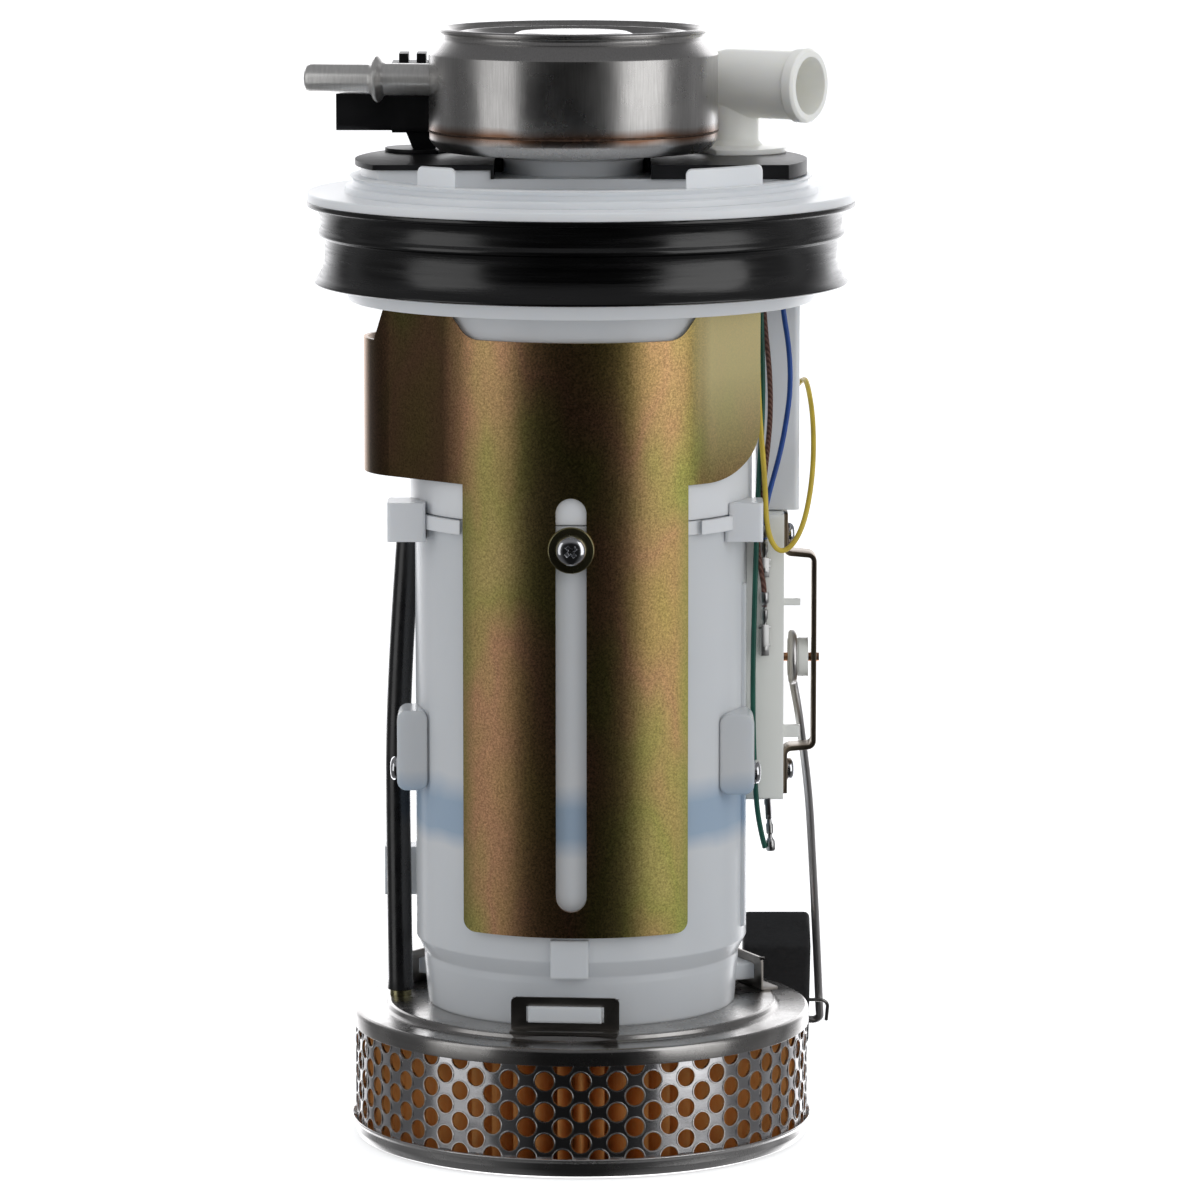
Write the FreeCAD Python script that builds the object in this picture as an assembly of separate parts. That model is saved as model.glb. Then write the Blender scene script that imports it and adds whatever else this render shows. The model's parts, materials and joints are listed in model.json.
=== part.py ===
import FreeCAD, Part
import math
import os

# Fuel pump module: a tank flange slides on a reservoir that stands on a perforated strainer.
# Millimetres. +Z is up, the front faces -Y, and the origin is on the reservoir's axis at the base.

# Running and seating clearances
seat_gap = 0.05
slide_gap = 0.3
turn_gap = 0.05

# Strainer cartridge
strainer_r = 61.0
strainer_sheet = 0.6
base_lip_r = 61.9
base_rim_z = 5.4
cap_rim_z = 30.1
cap_shoulder_z = 34.7
crown_r = 52.5
crown_z = 36.5
hole_r = 2.5
hole_columns = 40
hole_pitch = 8.2
pleat_count = 60
pleat_r = 57.0
pleat_depth = 16.0
pleat_paper = 5.0
core_r = 34.5
core_wall = 0.8
clip_width = 28.4
clip_height = 8.3
clip_sheet = 0.8
clip_r = 46.6
clip_angle = -95.0

# Reservoir
cup_r = 44.15
cup_wall = 2.0
foot_r = 42.0
foot_taper = 1.0
floor_z = 49.0
floor_t = 2.5
cup_shoulder_z = 54.3
cup_top = 165.8
lid_t = 3.7
collar_r = 46.5
lid_hole_r = 11.0
block_left = -50.8
block_right = 47.8
block_width = 10.0
block_length = 12.0
block_back = -12.0
block_drop = 3.2
block_rise = 3.4
lug_top = 117.0
lug_height = 21.3
lug_left = -48.6
lug_right = 45.6
lug_screw_up = 4.9
left_screw_y = -12.5
right_screw_y = -18.5
inlet_r = 6.0

# Flange: rises and drops are measured from its deck, insets from its rim
flange_r = 72.3
deck_top = 255.0
deck_t = 5.0
rim_drop = 4.3
rim_t = 2.3
wall_inset = 12.3
wall_rise = 2.6
wall_t = 2.5
tab_rise = 7.5
tab_t = 3.0
tab_corner = 1.5
right_tab_x = 37.0
right_tab_width = 20.0
left_tab_x = -37.0
left_tab_width = 10.0
platform_rise = 2.9
hub_inset = 9.8
hub_wall = 4.0
disc_inset = 11.0
disc_drop = 30.4
disc_edge_drop = 26.0
skirt_r = 45.35
skirt_wall = 2.05
plate_inset = 12.7
plate_rise = 6.6
plate_front = -25.0
neck_r = 18.5
neck_rise = 7.0
column_left = 46.5
column_right = 58.0
column_front = 2.0
column_back = 24.0
column_wall = 2.0
barb_drop = 29.0
feed_bore_r = 3.2

# Filter can on top
can_x = -2.0
can_r = 38.1
can_sheet = 0.7
can_seam_up = 7.0
can_wall_up = 25.5
can_lid_up = 8.5
media_up = 3.0
nipple_up = 19.8
nipple_turn = 10.0
nipple_r = 3.97
nipple_tube_r = 4.25
nipple_bead_r = 6.2
nipple_bead_at = 52.6
nipple_length = 72.0
nipple_bore_r = 2.9

# Electrical connector
plug_x = -41.8
plug_y = 25.0
plug_half = 8.5
plug_base_r = 10.7
plug_foot_r = 5.0
plug_length = 12.4
plug_up = 5.4
plug_height = 18.5
socket_depth = 14.8
socket_up = 6.0
socket_height = 13.4
socket_wall = 1.5
pin_count = 4

# Vent valve
vent_x = 40.0
vent_y = 22.5
vent_up = 18.4
vent_turn = -32.0
vent_base_r = 14.7
vent_stem_r = 7.5
vent_spigot_r = 8.0
vent_pipe_r = 9.2
vent_bead_r = 9.9
vent_bead_width = 2.6
vent_bore_r = 7.6
vent_reach = 24.4

# Slide bracket
bracket_r = 45.4
bracket_t = 1.2
bracket_bottom = 61.2
arm_bottom = 179.2
bracket_rise = 15.4
tongue_left = -30.8
tongue_right = 28.0
crease_angle = 42.4
arm_flat = 25.7
arm_right = 21.1
curl_r = 20.6
curl_sweep = 80.6
notch_bottom = 217.2
notch_half = 33.7
notch_slope = 6.0
curl_notch_z = 214.7
curl_notch_x = -54.5
curl_neck_x = -51.5
slot_x = -2.5
slot_width = 8.0
slot_bottom = 68.1
slot_top = 176.9
clamp_z = 163.5
clamp_screw_r = 2.0
clamp_head_r = 4.2
clamp_washer_r = 5.8
clamp_washer_t = 1.0

# Pump
pump_r = 19.0
pump_wall = 1.2
pump_bottom = 55.0
pump_top = 122.0
pump_lip = 0.8
shaft_r = 1.6
press = 0.02
inlet_up = 7.0
inlet_step = 4.0
outlet_cap_t = 9.2
magnet_r = 13.2
magnet_up = 15.0
magnet_length = 32.0
magnet_split = 8.0
core_up = 17.0
core_length = 28.0
armature_r = 12.5
armature_slots = 8
commutator_r = 7.5
commutator_up = 48.0
commutator_length = 5.0
impeller_r = 14.5
impeller_up = 7.3
impeller_t = 3.1
impeller_vanes = 16
vane_depth = 1.9
vane_width = 1.8
outlet_x = 5.0
outlet_r = 6.0
outlet_bore_r = 2.0
outlet_top = 140.0
valve_seat_z = 126.0
ball_r = 3.0
spring_turns = 4
isolator_bottom = 84.0
isolator_top = 99.0
hose_wall = 0.8
hose_bottom = 127.0
hose_cuff = 17.0
hose_folds = 7

# Pressure regulator under the deck
regulator_x = -24.0
regulator_y = 8.0
regulator_r = 10.0
regulator_length = 20.0
regulator_drop = 4.0
regulator_wall = 0.8
regulator_neck_r = 5.0
regulator_bore_r = 3.0
diaphragm_t = 0.8

# Level sender
sender_left = 44.3
sender_face = 53.8
sender_front = -6.0
sender_back = 26.0
sender_bottom = 90.9
sender_top = 167.5
pivot_y = 8.0
pivot_z = 127.4
pivot_r = 1.15
bail_t = 1.3
bail_half = 4.5
bail_low = 103.0
bail_high = 154.6
bail_reach = 62.8
bail_ear = 12.0
card_depth = 3.6
card_t = 1.0
sender_wall = 2.5
upper_tab_z = 144.1
upper_tab_t = 1.8
lower_tab_z = 109.4
lower_tab_t = 3.2
tab_reach = 4.4
arm_wire_r = 1.15
arm_turn = 28.0
arm_length = 126.0
arm_end_x = 66.4
coil_r = 6.25
float_left = 44.5
float_right = 63.0
float_length = 36.0
float_t = 16.0
float_at = 111.0

# Vent hose and leads
vent_hose_r = 3.3
vent_hose_bore = 2.0
nipple_ease = 0.15
lead_r = 0.7
arc_share = 0.45

rim_bottom = deck_top - rim_drop
rim_top = rim_bottom + rim_t
deck_bottom = deck_top - deck_t
wall_r = flange_r - wall_inset
wall_top = deck_top + wall_rise
tab_top = deck_top + tab_rise
platform_top = deck_top + platform_rise
hub_r = flange_r - hub_inset
disc_r = flange_r - disc_inset
disc_bottom = deck_top - disc_drop
disc_edge_z = deck_top - disc_edge_drop
plate_r = flange_r - plate_inset
plate_top = deck_top + plate_rise
can_bottom = deck_top + neck_rise
barb_bottom = deck_top - barb_drop
hose_top = barb_bottom + hose_cuff
bracket_top = disc_bottom + bracket_rise
plug_bottom = plate_top + plug_up
plug_top = plug_bottom + plug_height
socket_bottom = plate_top + socket_up
socket_top = socket_bottom + socket_height
plug_right = plug_x + 3.8
socket_back = plug_right - plug_length
socket_mouth = socket_back - socket_depth
vent_z = plate_top + vent_up
lid_top = cup_top + lid_t
skirt_bottom = lid_top + slide_gap
floor_top = floor_z + floor_t
can_seam = can_bottom + can_seam_up
can_shoulder = can_bottom + can_wall_up
can_top = can_shoulder + can_lid_up
nipple_z = can_bottom + nipple_up

V = FreeCAD.Vector
origin = V(0, 0, 0)
up = V(0, 0, 1)


def disc(r, z0, z1, x=0.0, y=0.0):
    return Part.makeCylinder(r, z1 - z0, V(x, y, z0), up)


def ring(outer, inner, z0, z1, x=0.0, y=0.0):
    return disc(outer, z0, z1, x, y).cut(disc(inner, z0 - 1, z1 + 1, x, y))


def rod(r, start, end):
    start, end = V(*start), V(*end)
    return Part.makeCylinder(r, (end - start).Length, start, end - start)


def block(x0, x1, y0, y1, z0, z1):
    return Part.makeBox(x1 - x0, y1 - y0, z1 - z0, V(x0, y0, z0))


def face_of(points):
    corners = [V(*p) for p in points]
    return Part.Face(Part.makePolygon(corners + corners[:1]))


def turned(profile, x=0.0, y=0.0):
    # A closed (radius, height) outline revolved about a vertical axis
    face = face_of([(x + r, y, z) for r, z in profile])
    return face.revolve(V(x, y, 0), up, 360)


def flat_shape(outline, y0, y1):
    # An (x, z) outline pulled along Y
    return face_of([(x, y0, z) for x, z in outline]).extrude(V(0, y1 - y0, 0))


def placed(shape, angle, x=0.0, y=0.0):
    copy = shape.copy()
    copy.rotate(origin, up, angle)
    copy.translate(V(x, y, 0))
    return copy


def around(shape, count, start=0.0):
    return [placed(shape, start + 360.0 / count * i) for i in range(count)]


def joined(first, *others):
    result = first.fuse(list(others)) if others else first
    return result.removeSplitter()


def soften(shape, radius, direction):
    # Rounds the straight edges that run along one direction
    edges = []
    for edge in shape.Edges:
        if edge.Curve.TypeId == "Part::GeomLine":
            along = edge.Curve.Direction
            if abs(along.dot(direction)) > 0.999:
                edges.append(edge)
    return shape.makeFillet(radius, edges)


def pan_head(r, height, at, toward):
    # A domed screw head that grows from a point along a direction
    dome = Part.makeCylinder(r, height, origin, up)
    dome = dome.makeFillet(height * 0.6, [e for e in dome.Edges if e.BoundBox.ZMin > height * 0.9])
    return aimed(dome, at, toward)


def aimed(shape, at, toward):
    copy = shape.copy()
    copy.Placement = FreeCAD.Placement(V(*at), FreeCAD.Rotation(up, V(*toward)))
    return copy


def screw(shank_r, head_r, head_h, length, seat, outward):
    # The head sits on the seat and the shank goes the other way
    out = V(*outward)
    out.normalize()
    head = pan_head(head_r, head_h, seat, outward)
    shank = Part.makeCylinder(shank_r, length, V(*seat) - out * length, out)
    return joined(head, shank)


def cord_edges(points, name):
    # Straight runs joined by tangent arcs, as large as the shorter run allows
    knots = [V(*p) for p in points]
    edges = []
    at = knots[0]
    for before, corner, after in zip(knots, knots[1:], knots[2:]):
        back = before - corner
        ahead = after - corner
        cut = arc_share * min(back.Length, ahead.Length)
        half_turn = (math.pi - back.getAngle(ahead)) / 2
        radius = cut / math.tan(half_turn)
        print("%s radius %.1f" % (name, radius))
        back.normalize()
        ahead.normalize()
        inward = back + ahead
        inward.normalize()
        start = corner + back * cut
        end = corner + ahead * cut
        middle = corner + inward * (radius / math.cos(half_turn) - radius)
        edges.append(Part.LineSegment(at, start).toShape())
        edges.append(Part.Arc(start, middle, end).toShape())
        at = end
    edges.append(Part.LineSegment(at, knots[-1]).toShape())
    return edges


def swept(path, radius):
    first = path.Edges[0]
    begin = first.valueAt(first.FirstParameter)
    section = Part.Wire([Part.makeCircle(radius, begin, first.tangentAt(first.FirstParameter))])
    return path.makePipeShell([section], True, False)


def cord(points, r, name, bore=0.0):
    path = Part.Wire(cord_edges(points, name))
    tube = swept(path, r)
    print("%s volume ratio %.4f" % (name, tube.Volume / (math.pi * r * r * path.Length)))
    return tube.cut(swept(path, bore)) if bore else tube


# Strainer cartridge


def strainer_bottom_cap():
    t = strainer_sheet
    edge = 2.5
    outside = [(0, 0), (strainer_r - edge, 0), (strainer_r, edge), (strainer_r, base_rim_z - 1)]
    lip = [(base_lip_r, base_rim_z), (base_lip_r - t, base_rim_z)]
    inside = [(strainer_r - t, base_rim_z - 0.8), (strainer_r - t, edge + 0.3)]
    floor = [(strainer_r - edge - 0.3, t), (0, t)]
    return turned(outside + lip + inside + floor)


def strainer_top_cap():
    t = strainer_sheet
    edge = 1.5
    hole = inlet_r + seat_gap
    outside = [(strainer_r, cap_rim_z), (strainer_r, cap_shoulder_z - edge)]
    outside += [(strainer_r - edge, cap_shoulder_z), (crown_r, cap_shoulder_z)]
    outside += [(crown_r - 1, crown_z), (hole, crown_z)]
    inside = [(hole, crown_z - t), (crown_r - 1 - t, crown_z - t)]
    inside += [(crown_r - t, cap_shoulder_z - t), (strainer_r - edge - t / 2, cap_shoulder_z - t)]
    inside += [(strainer_r - t, cap_shoulder_z - edge - t / 2), (strainer_r - t, cap_rim_z)]
    return turned(outside + inside)


def strainer_sleeve():
    # Two interleaved sets of columns; the caps cover half of the second set's end holes
    outer = strainer_r - strainer_sheet - seat_gap
    top = cap_shoulder_z - 2 * strainer_sheet - 1
    shell = ring(outer, outer - strainer_sheet, base_rim_z - 2.2, top)
    middle = (base_rim_z + cap_rim_z) / 2
    punch = rod(hole_r, (outer - 2, 0, 0), (outer + 2, 0, 0))
    pitch = 360.0 / hole_columns
    punches = []
    for column in range(hole_columns):
        for step in range(-3, 4):
            hole = punch.copy()
            hole.translate(V(0, 0, middle + step * hole_pitch / 2))
            punches.append(placed(hole, (column + 0.5 * (step % 2)) * pitch))
    return shell.cut(Part.makeCompound(punches))


def strainer_pleats():
    # One folded ribbon of paper, closed into a star
    def star(peak):
        points = []
        for i in range(2 * pleat_count):
            r = peak - pleat_depth * (i % 2)
            angle = math.pi * i / pleat_count
            points.append((r * math.cos(angle), r * math.sin(angle), strainer_sheet))
        return face_of(points)

    height = cap_shoulder_z - 2 * strainer_sheet
    folds = star(pleat_r).cut(star(pleat_r - pleat_paper))
    return folds.extrude(V(0, 0, height))


def strainer_core():
    top = cap_shoulder_z - strainer_sheet
    tube = ring(core_r, core_r - core_wall, strainer_sheet, top)
    slots = []
    for level in (8.0, 17.0, 26.0):
        slot = block(core_r - 3, core_r + 3, -4, 4, level - 1.5, level + 1.5)
        slots += around(slot, 12, level * 3)
    return tube.cut(Part.makeCompound(slots))


def strainer_clips():
    # Sprung window clips welded to the crown; the foot ring's nubs snap into them
    half = clip_width / 2
    top = crown_z + clip_height
    frame = block(clip_r, clip_r + clip_sheet, -half, half, crown_z, top)
    window = block(clip_r - 1, clip_r + 2, -half + 3, half - 3, crown_z + 2, top - 1.2)
    foot = block(clip_r, crown_r - 1.5, -half, half, crown_z, crown_z + clip_sheet)
    clip = joined(frame.cut(window), foot)
    return Part.makeCompound(around(clip, 3, clip_angle))


def vent_nipple():
    x = -48.5
    foot = disc(2.9, crown_z, crown_z + 1.5, x, 2)
    stem = disc(vent_hose_bore - nipple_ease, crown_z, crown_z + 7, x, 2)
    return joined(foot, stem).cut(disc(1.1, crown_z - 1, crown_z + 8, x, 2))


def vent_hose():
    start = crown_z + 1.5 + nipple_ease
    points = [(-48.5, 2, start), (-49.3, 3, 102), (-46.1, 14, 160.5)]
    return cord(points, vent_hose_r, "vent hose", vent_hose_bore)


# Reservoir


def reservoir_cup():
    inner = cup_r - cup_wall
    outside = [(foot_r - foot_taper, crown_z), (foot_r, floor_z - 1), (foot_r, floor_z + 1)]
    outside += [(cup_r, cup_shoulder_z), (cup_r, cup_top)]
    inside = [(inner, cup_top), (inner, floor_top + 4), (inner - 3, floor_top)]
    hole = inlet_r + seat_gap
    below = [(hole, floor_top), (hole, floor_z), (foot_r - 3, floor_z), (foot_r - 4, crown_z)]
    cup = turned(outside + inside + below)
    pad = block(-8, 2, -cup_r - 0.7, -cup_r + 4, floor_z + 1, bracket_bottom - 1)
    lug_low = lug_top - lug_height
    left_lug = block(lug_left, lug_left + 8, left_screw_y - 6.5, left_screw_y + 6.5, lug_low, lug_top)
    right_lug = block(lug_right - 9, lug_right, right_screw_y - 7, right_screw_y + 6.5, lug_low, lug_top)
    left_lug = soften(left_lug, 2.5, V(0, 1, 0))
    right_lug = soften(right_lug, 2.5, V(0, 1, 0))
    left_block = block(-cup_r - 8.8, 6 - cup_r, 12, 20, cup_shoulder_z + 7.7, cup_shoulder_z + 20.7)
    rail = block(cup_r - 1, cup_r + 1, -0.8, 0.8, cup_shoulder_z + 3.7, cup_top - 15.8)
    rail = placed(rail, -15)
    boss = rod(4.6, (slot_x, 10 - cup_r, clamp_z), (slot_x, -bracket_r - 2, clamp_z))
    boss = boss.common(disc(bracket_r - slide_gap, clamp_z - 8, cup_top))
    nub_top = crown_z + clip_height - 1.5
    nub = block(foot_r - 4, clip_r + 2, -9.6, 9.6, crown_z + 2.6, nub_top)
    hollow = disc(inner, floor_top + 5, cup_top + 1)
    extras = joined(pad, left_lug, right_lug, left_block, rail).cut(hollow)
    extras = extras.cut(disc(foot_r - 3, crown_z - 1, floor_z + 8))
    nubs = [n.cut(disc(foot_r - 3, crown_z - 1, floor_z)) for n in around(nub, 3, clip_angle)]
    cup = joined(cup, extras, boss, *nubs)
    thread = rod(clamp_screw_r, (slot_x, -60, clamp_z), (slot_x, 15 - cup_r, clamp_z))
    screw_z = lug_top - lug_height + lug_screw_up
    left_hole = rod(1.5, (lug_left - 5, left_screw_y, screw_z), (lug_left + 10.6, left_screw_y, screw_z))
    right_hole = rod(1.5, (lug_right + 5, right_screw_y, screw_z), (lug_right - 11.6, right_screw_y, screw_z))
    return cup.cut(joined(thread, left_hole, right_hole))


def reservoir_lid():
    # A snap lid whose collar stands proud beside the bracket and carries two clip blocks
    plate = disc(cup_r, cup_top, lid_top)
    tongue_rim = disc(bracket_r - slide_gap, cup_top, lid_top)
    collar = disc(collar_r, cup_top, lid_top).cut(block(-31.5, 31.5, -60, 60, cup_top - 1, lid_top + 1))
    front = block(-60, 60, -60, sender_front - 2, cup_top - 1, lid_top + 1)
    front_y = block_back - block_length
    clips = []
    for out, turn in ((block_left, 1), (block_right, -1)):
        ends = sorted((out, out + turn * block_width))
        clip = block(*ends, front_y, block_back, cup_top - block_drop, lid_top + block_rise)
        clips.append(soften(clip, 1.0, up))
    clips = joined(*clips).cut(disc(cup_r + seat_gap, cup_top - 2 * block_drop, cup_top))
    clips = clips.cut(disc(skirt_r + slide_gap, lid_top, lid_top + 2 * block_rise))
    lid = joined(plate, tongue_rim.common(front), collar.common(front), clips)
    spigot = ring(cup_r - cup_wall - seat_gap, cup_r - cup_wall - 2, cup_top - 3, cup_top)
    screw_room = rod(6, (slot_x, -60, clamp_z), (slot_x, -30, clamp_z))
    lid = joined(lid, spigot.cut(screw_room))
    return lid.cut(disc(lid_hole_r, cup_top - 5, lid_top + 1, outlet_x))


# Pump inside the reservoir


def pump_casing():
    inner = pump_r - pump_wall
    lip = inner - 1.2
    profile = [(lip, pump_bottom), (pump_r, pump_bottom), (pump_r, pump_top), (lip, pump_top)]
    profile += [(lip, pump_top - 0.8), (inner, pump_top - 0.8), (inner, pump_bottom + 0.8)]
    return turned(profile + [(lip, pump_bottom + 0.8)])


def pump_inlet_cap():
    body_r = pump_r - pump_wall - seat_gap
    seat = pump_bottom + pump_lip
    spigot_end = crown_z - 3.5
    face = pump_bottom + inlet_up
    rim, room = face + inlet_step, impeller_r + 0.5
    profile = [(4, spigot_end), (inlet_r, spigot_end), (inlet_r, seat), (body_r, seat)]
    profile += [(body_r, rim), (room, rim), (room, face), (4, face)]
    bearing = ring(3, shaft_r + turn_gap, face - 4, face - 0.1)
    arms = [placed(block(2.6, 5, -0.6, 0.6, face - 4, face - 0.5), 120 * i) for i in range(3)]
    spider = joined(bearing, *arms)
    return joined(turned(profile), spider.cut(disc(shaft_r + turn_gap, face - 5, face + 1)))


def pump_outlet_cap():
    body_r = pump_r - pump_wall - seat_gap
    seat = pump_top - pump_lip
    low = seat - outlet_cap_t
    body = disc(body_r, low, seat)
    bore = outlet_bore_r
    chamber = ball_r + 0.8
    tower = [(bore, low), (outlet_r, low), (outlet_r, outlet_top), (bore + 0.6, outlet_top)]
    tower += [(bore + 0.6, outlet_top - 3), (chamber, outlet_top - 3), (chamber, valve_seat_z)]
    tower += [(bore, valve_seat_z)]
    body = body.cut(disc(outlet_r - 1, low - 1, seat + 1, outlet_x))
    return joined(body, turned(tower, outlet_x)).cut(disc(shaft_r + turn_gap, low - 1, seat - 1.9))


def pump_magnets():
    outer = pump_r - pump_wall - seat_gap
    low, half = pump_bottom + magnet_up, magnet_split / 2
    shell = ring(outer, magnet_r, low, low + magnet_length)
    return shell.cut(block(-pump_r, pump_r, -half, half, low - 1, low + magnet_length + 1))


def pump_isolator():
    # Rubber ring that holds the pump in the cup, with passages for the fuel
    body = ring(cup_r - cup_wall - seat_gap, pump_r + seat_gap, isolator_bottom, isolator_top)
    passage = disc(7.5, isolator_bottom - 1, isolator_top + 1, 30.5)
    return body.cut(Part.makeCompound(around(passage, 6, 30)))


def rotor_shaft():
    return disc(shaft_r, pump_bottom + inlet_up - 3.7, pump_top - pump_lip - 2.1)


def armature():
    low = pump_bottom + core_up
    core = ring(armature_r, shaft_r + press, low, low + core_length)
    slot = block(5.5, armature_r + 1.5, -0.9, 0.9, low - 1, low + core_length + 1)
    return core.cut(Part.makeCompound(around(slot, armature_slots)))


def commutator():
    low = pump_bottom + commutator_up
    return ring(commutator_r, shaft_r + press, low, low + commutator_length)


def impeller():
    low, half = pump_bottom + impeller_up, vane_width / 2
    wheel = ring(impeller_r, shaft_r + press, low, low + impeller_t)
    gap = block(impeller_r - vane_depth, impeller_r + 0.5, -half, half, low - 0.5, low + impeller_t + 0.5)
    return wheel.cut(Part.makeCompound(around(gap, impeller_vanes)))


def check_valve_ball():
    lift = math.sqrt(ball_r ** 2 - outlet_bore_r ** 2)
    return Part.makeSphere(ball_r, V(outlet_x, 0, valve_seat_z + lift + 0.03))


def check_valve_spring():
    wire_r = 0.35
    coil = ball_r - 0.6
    base = valve_seat_z + math.sqrt(ball_r ** 2 - outlet_bore_r ** 2) + math.sqrt(ball_r ** 2 - coil ** 2)
    length = outlet_top - 3 - base - 2 * wire_r - 0.4
    steps = 8 * spring_turns
    points = []
    for i in range(steps + 1):
        angle = math.pi / 4 * i
        points.append(V(coil * math.cos(angle), coil * math.sin(angle), length * i / steps))
    line = Part.BSplineCurve()
    line.interpolate(points)
    section = Part.Wire([Part.makeCircle(wire_r, points[0], line.tangent(line.FirstParameter)[0])])
    spring = Part.Wire([line.toShape()]).makePipeShell([section], True, True)
    spring.translate(V(outlet_x, 0, base + wire_r + 0.3))
    return spring


def feed_hose():
    # Moulded bellows from the pump's outlet to the flange, which follows the slide
    inner = outlet_r + seat_gap
    outer = inner + hose_wall
    cuff = 14
    pitch = (hose_top - hose_bottom - 2 * cuff) / hose_folds
    wave = 2.2
    outside = [(outer, hose_bottom)]
    inside = [(inner, hose_bottom)]
    for fold in range(hose_folds):
        z = hose_bottom + cuff + fold * pitch
        outside += [(outer, z), (outer + wave, z + pitch / 2)]
        inside += [(inner, z), (inner + wave, z + pitch / 2)]
    outside += [(outer, hose_top - cuff), (outer, hose_top)]
    inside += [(inner, hose_top - cuff), (inner, hose_top)]
    return turned(outside + inside[::-1], outlet_x)


# Flange and what it carries


def flange():
    bottom_wall = hub_r - hub_wall
    rim = [(hub_r, disc_edge_z), (hub_r, rim_bottom), (flange_r, rim_bottom), (flange_r, rim_top - 0.3)]
    rim += [(flange_r - 0.3, rim_top), (hub_r, rim_top), (hub_r - 0.3, rim_top + 1.6), (wall_r + 0.4, deck_top)]
    wall = [(wall_r, deck_top + 1.3), (wall_r + 1.2, wall_top - 0.3), (wall_r, wall_top)]
    wall += [(wall_r - wall_t, wall_top), (wall_r - wall_t, deck_top), (0, deck_top)]
    under = [(0, deck_bottom), (skirt_r - skirt_wall, deck_bottom), (skirt_r - skirt_wall, skirt_bottom)]
    under += [(skirt_r, skirt_bottom), (skirt_r, deck_bottom), (bottom_wall, deck_bottom)]
    edge = [(bottom_wall, disc_bottom), (disc_r, disc_bottom), (hub_r + 0.6, disc_edge_z - 1)]
    edge += [(hub_r + 0.6, disc_edge_z)]
    body = turned(rim + wall + under + edge)
    platform = disc(plate_r - 1.6, deck_top, platform_top)
    across = 2 * flange_r
    platform = platform.cut(block(-across, across, -across, plate_front + 1, deck_top - 1, platform_top + 1))
    riser = disc(plate_r - 1.6, deck_top, plate_top - 1.4).common(
        block(-across, can_x - neck_r - 3, plate_front + 1, across, deck_top, plate_top))
    neck = disc(neck_r, deck_top, can_bottom, can_x)
    tabs = [deck_tab(right_tab_x, right_tab_width), deck_tab(left_tab_x, left_tab_width)]
    wall = column_wall
    column = block(column_left, column_right, column_front, column_back, sender_top + slide_gap, deck_bottom)
    room = block(column_left + wall, column_right - wall, column_front + wall, column_back - wall,
                 sender_top - 1, deck_bottom - 3)
    column = soften(column, 1.5, up).cut(room)
    barb = disc(outlet_r, barb_bottom, deck_bottom, outlet_x)
    bosses = [bracket_boss(side) for side in (-1, 1)]
    body = joined(body, platform, riser, neck, *tabs, column, barb, *bosses)
    feed = disc(feed_bore_r, barb_bottom - 1, can_bottom + 1, outlet_x)
    vent_hole = disc(vent_spigot_r + seat_gap, deck_bottom - 4, plate_top, vent_x, vent_y)
    plug_hole = disc(plug_foot_r + seat_gap, deck_bottom - 4, plate_top, plug_x, plug_y)
    return body.cut(joined(feed, vent_hole, plug_hole, *[bracket_screw_hole(s) for s in (-1, 1)]))


def bracket_screw_seat(side):
    # Where a bracket screw meets the flat of the arm, hidden above the flange's lower edge
    a = math.radians(crease_angle)
    normal = V(side * math.sin(a), -math.cos(a), 0)
    along = V(side * math.cos(a), math.sin(a), 0)
    return normal * bracket_r + along * 9.5 + V(0, 0, 234), normal


def bracket_boss(side):
    seat, normal = bracket_screw_seat(side)
    boss = Part.makeCylinder(4, 8, seat - normal * (8 + seat_gap), normal)
    return boss


def bracket_screw_hole(side):
    seat, normal = bracket_screw_seat(side)
    return Part.makeCylinder(1.5, 12, seat - normal * 9, normal)


def bracket_screws():
    screws = []
    for side in (-1, 1):
        seat, normal = bracket_screw_seat(side)
        face = seat + normal * bracket_t
        screws.append(screw(1.5, 3, 2, 8.5, tuple(face), tuple(normal)))
    return Part.makeCompound(screws)


def deck_tab(x, width):
    # Upright tab on the flange's wall, with rounded top corners
    tab = ring(wall_r, wall_r - tab_t, deck_top, tab_top)
    tab = tab.common(block(x - width / 2, x + width / 2, -wall_r, 0, wall_top - 2, tab_top))
    corners = [e for e in tab.Edges if e.BoundBox.ZMin > tab_top - 0.01 and e.BoundBox.XLength < 0.01]
    return tab.makeFillet(tab_corner, corners)


def flange_seal():
    inner = hub_r + seat_gap
    foot = hub_r + 0.6 + seat_gap
    under = disc_edge_z + seat_gap
    lip = flange_r + 0.2
    top, low = rim_bottom, disc_edge_z - 0.2
    profile = [(inner, top), (lip, top), (lip, top - 1.4), (lip - 3.1, top - 1.4), (lip - 3.9, top - 7.2)]
    profile += [(lip - 2.9, top - 8.7), (lip - 4.3, top - 9.2), (lip - 4.9, low + 7.2)]
    profile += [(lip - 3.9, low + 3.7), (lip - 1.9, low + 0.5), (lip - 4.5, low), (foot, low)]
    return turned(profile + [(foot, under), (inner, under)])


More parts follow.
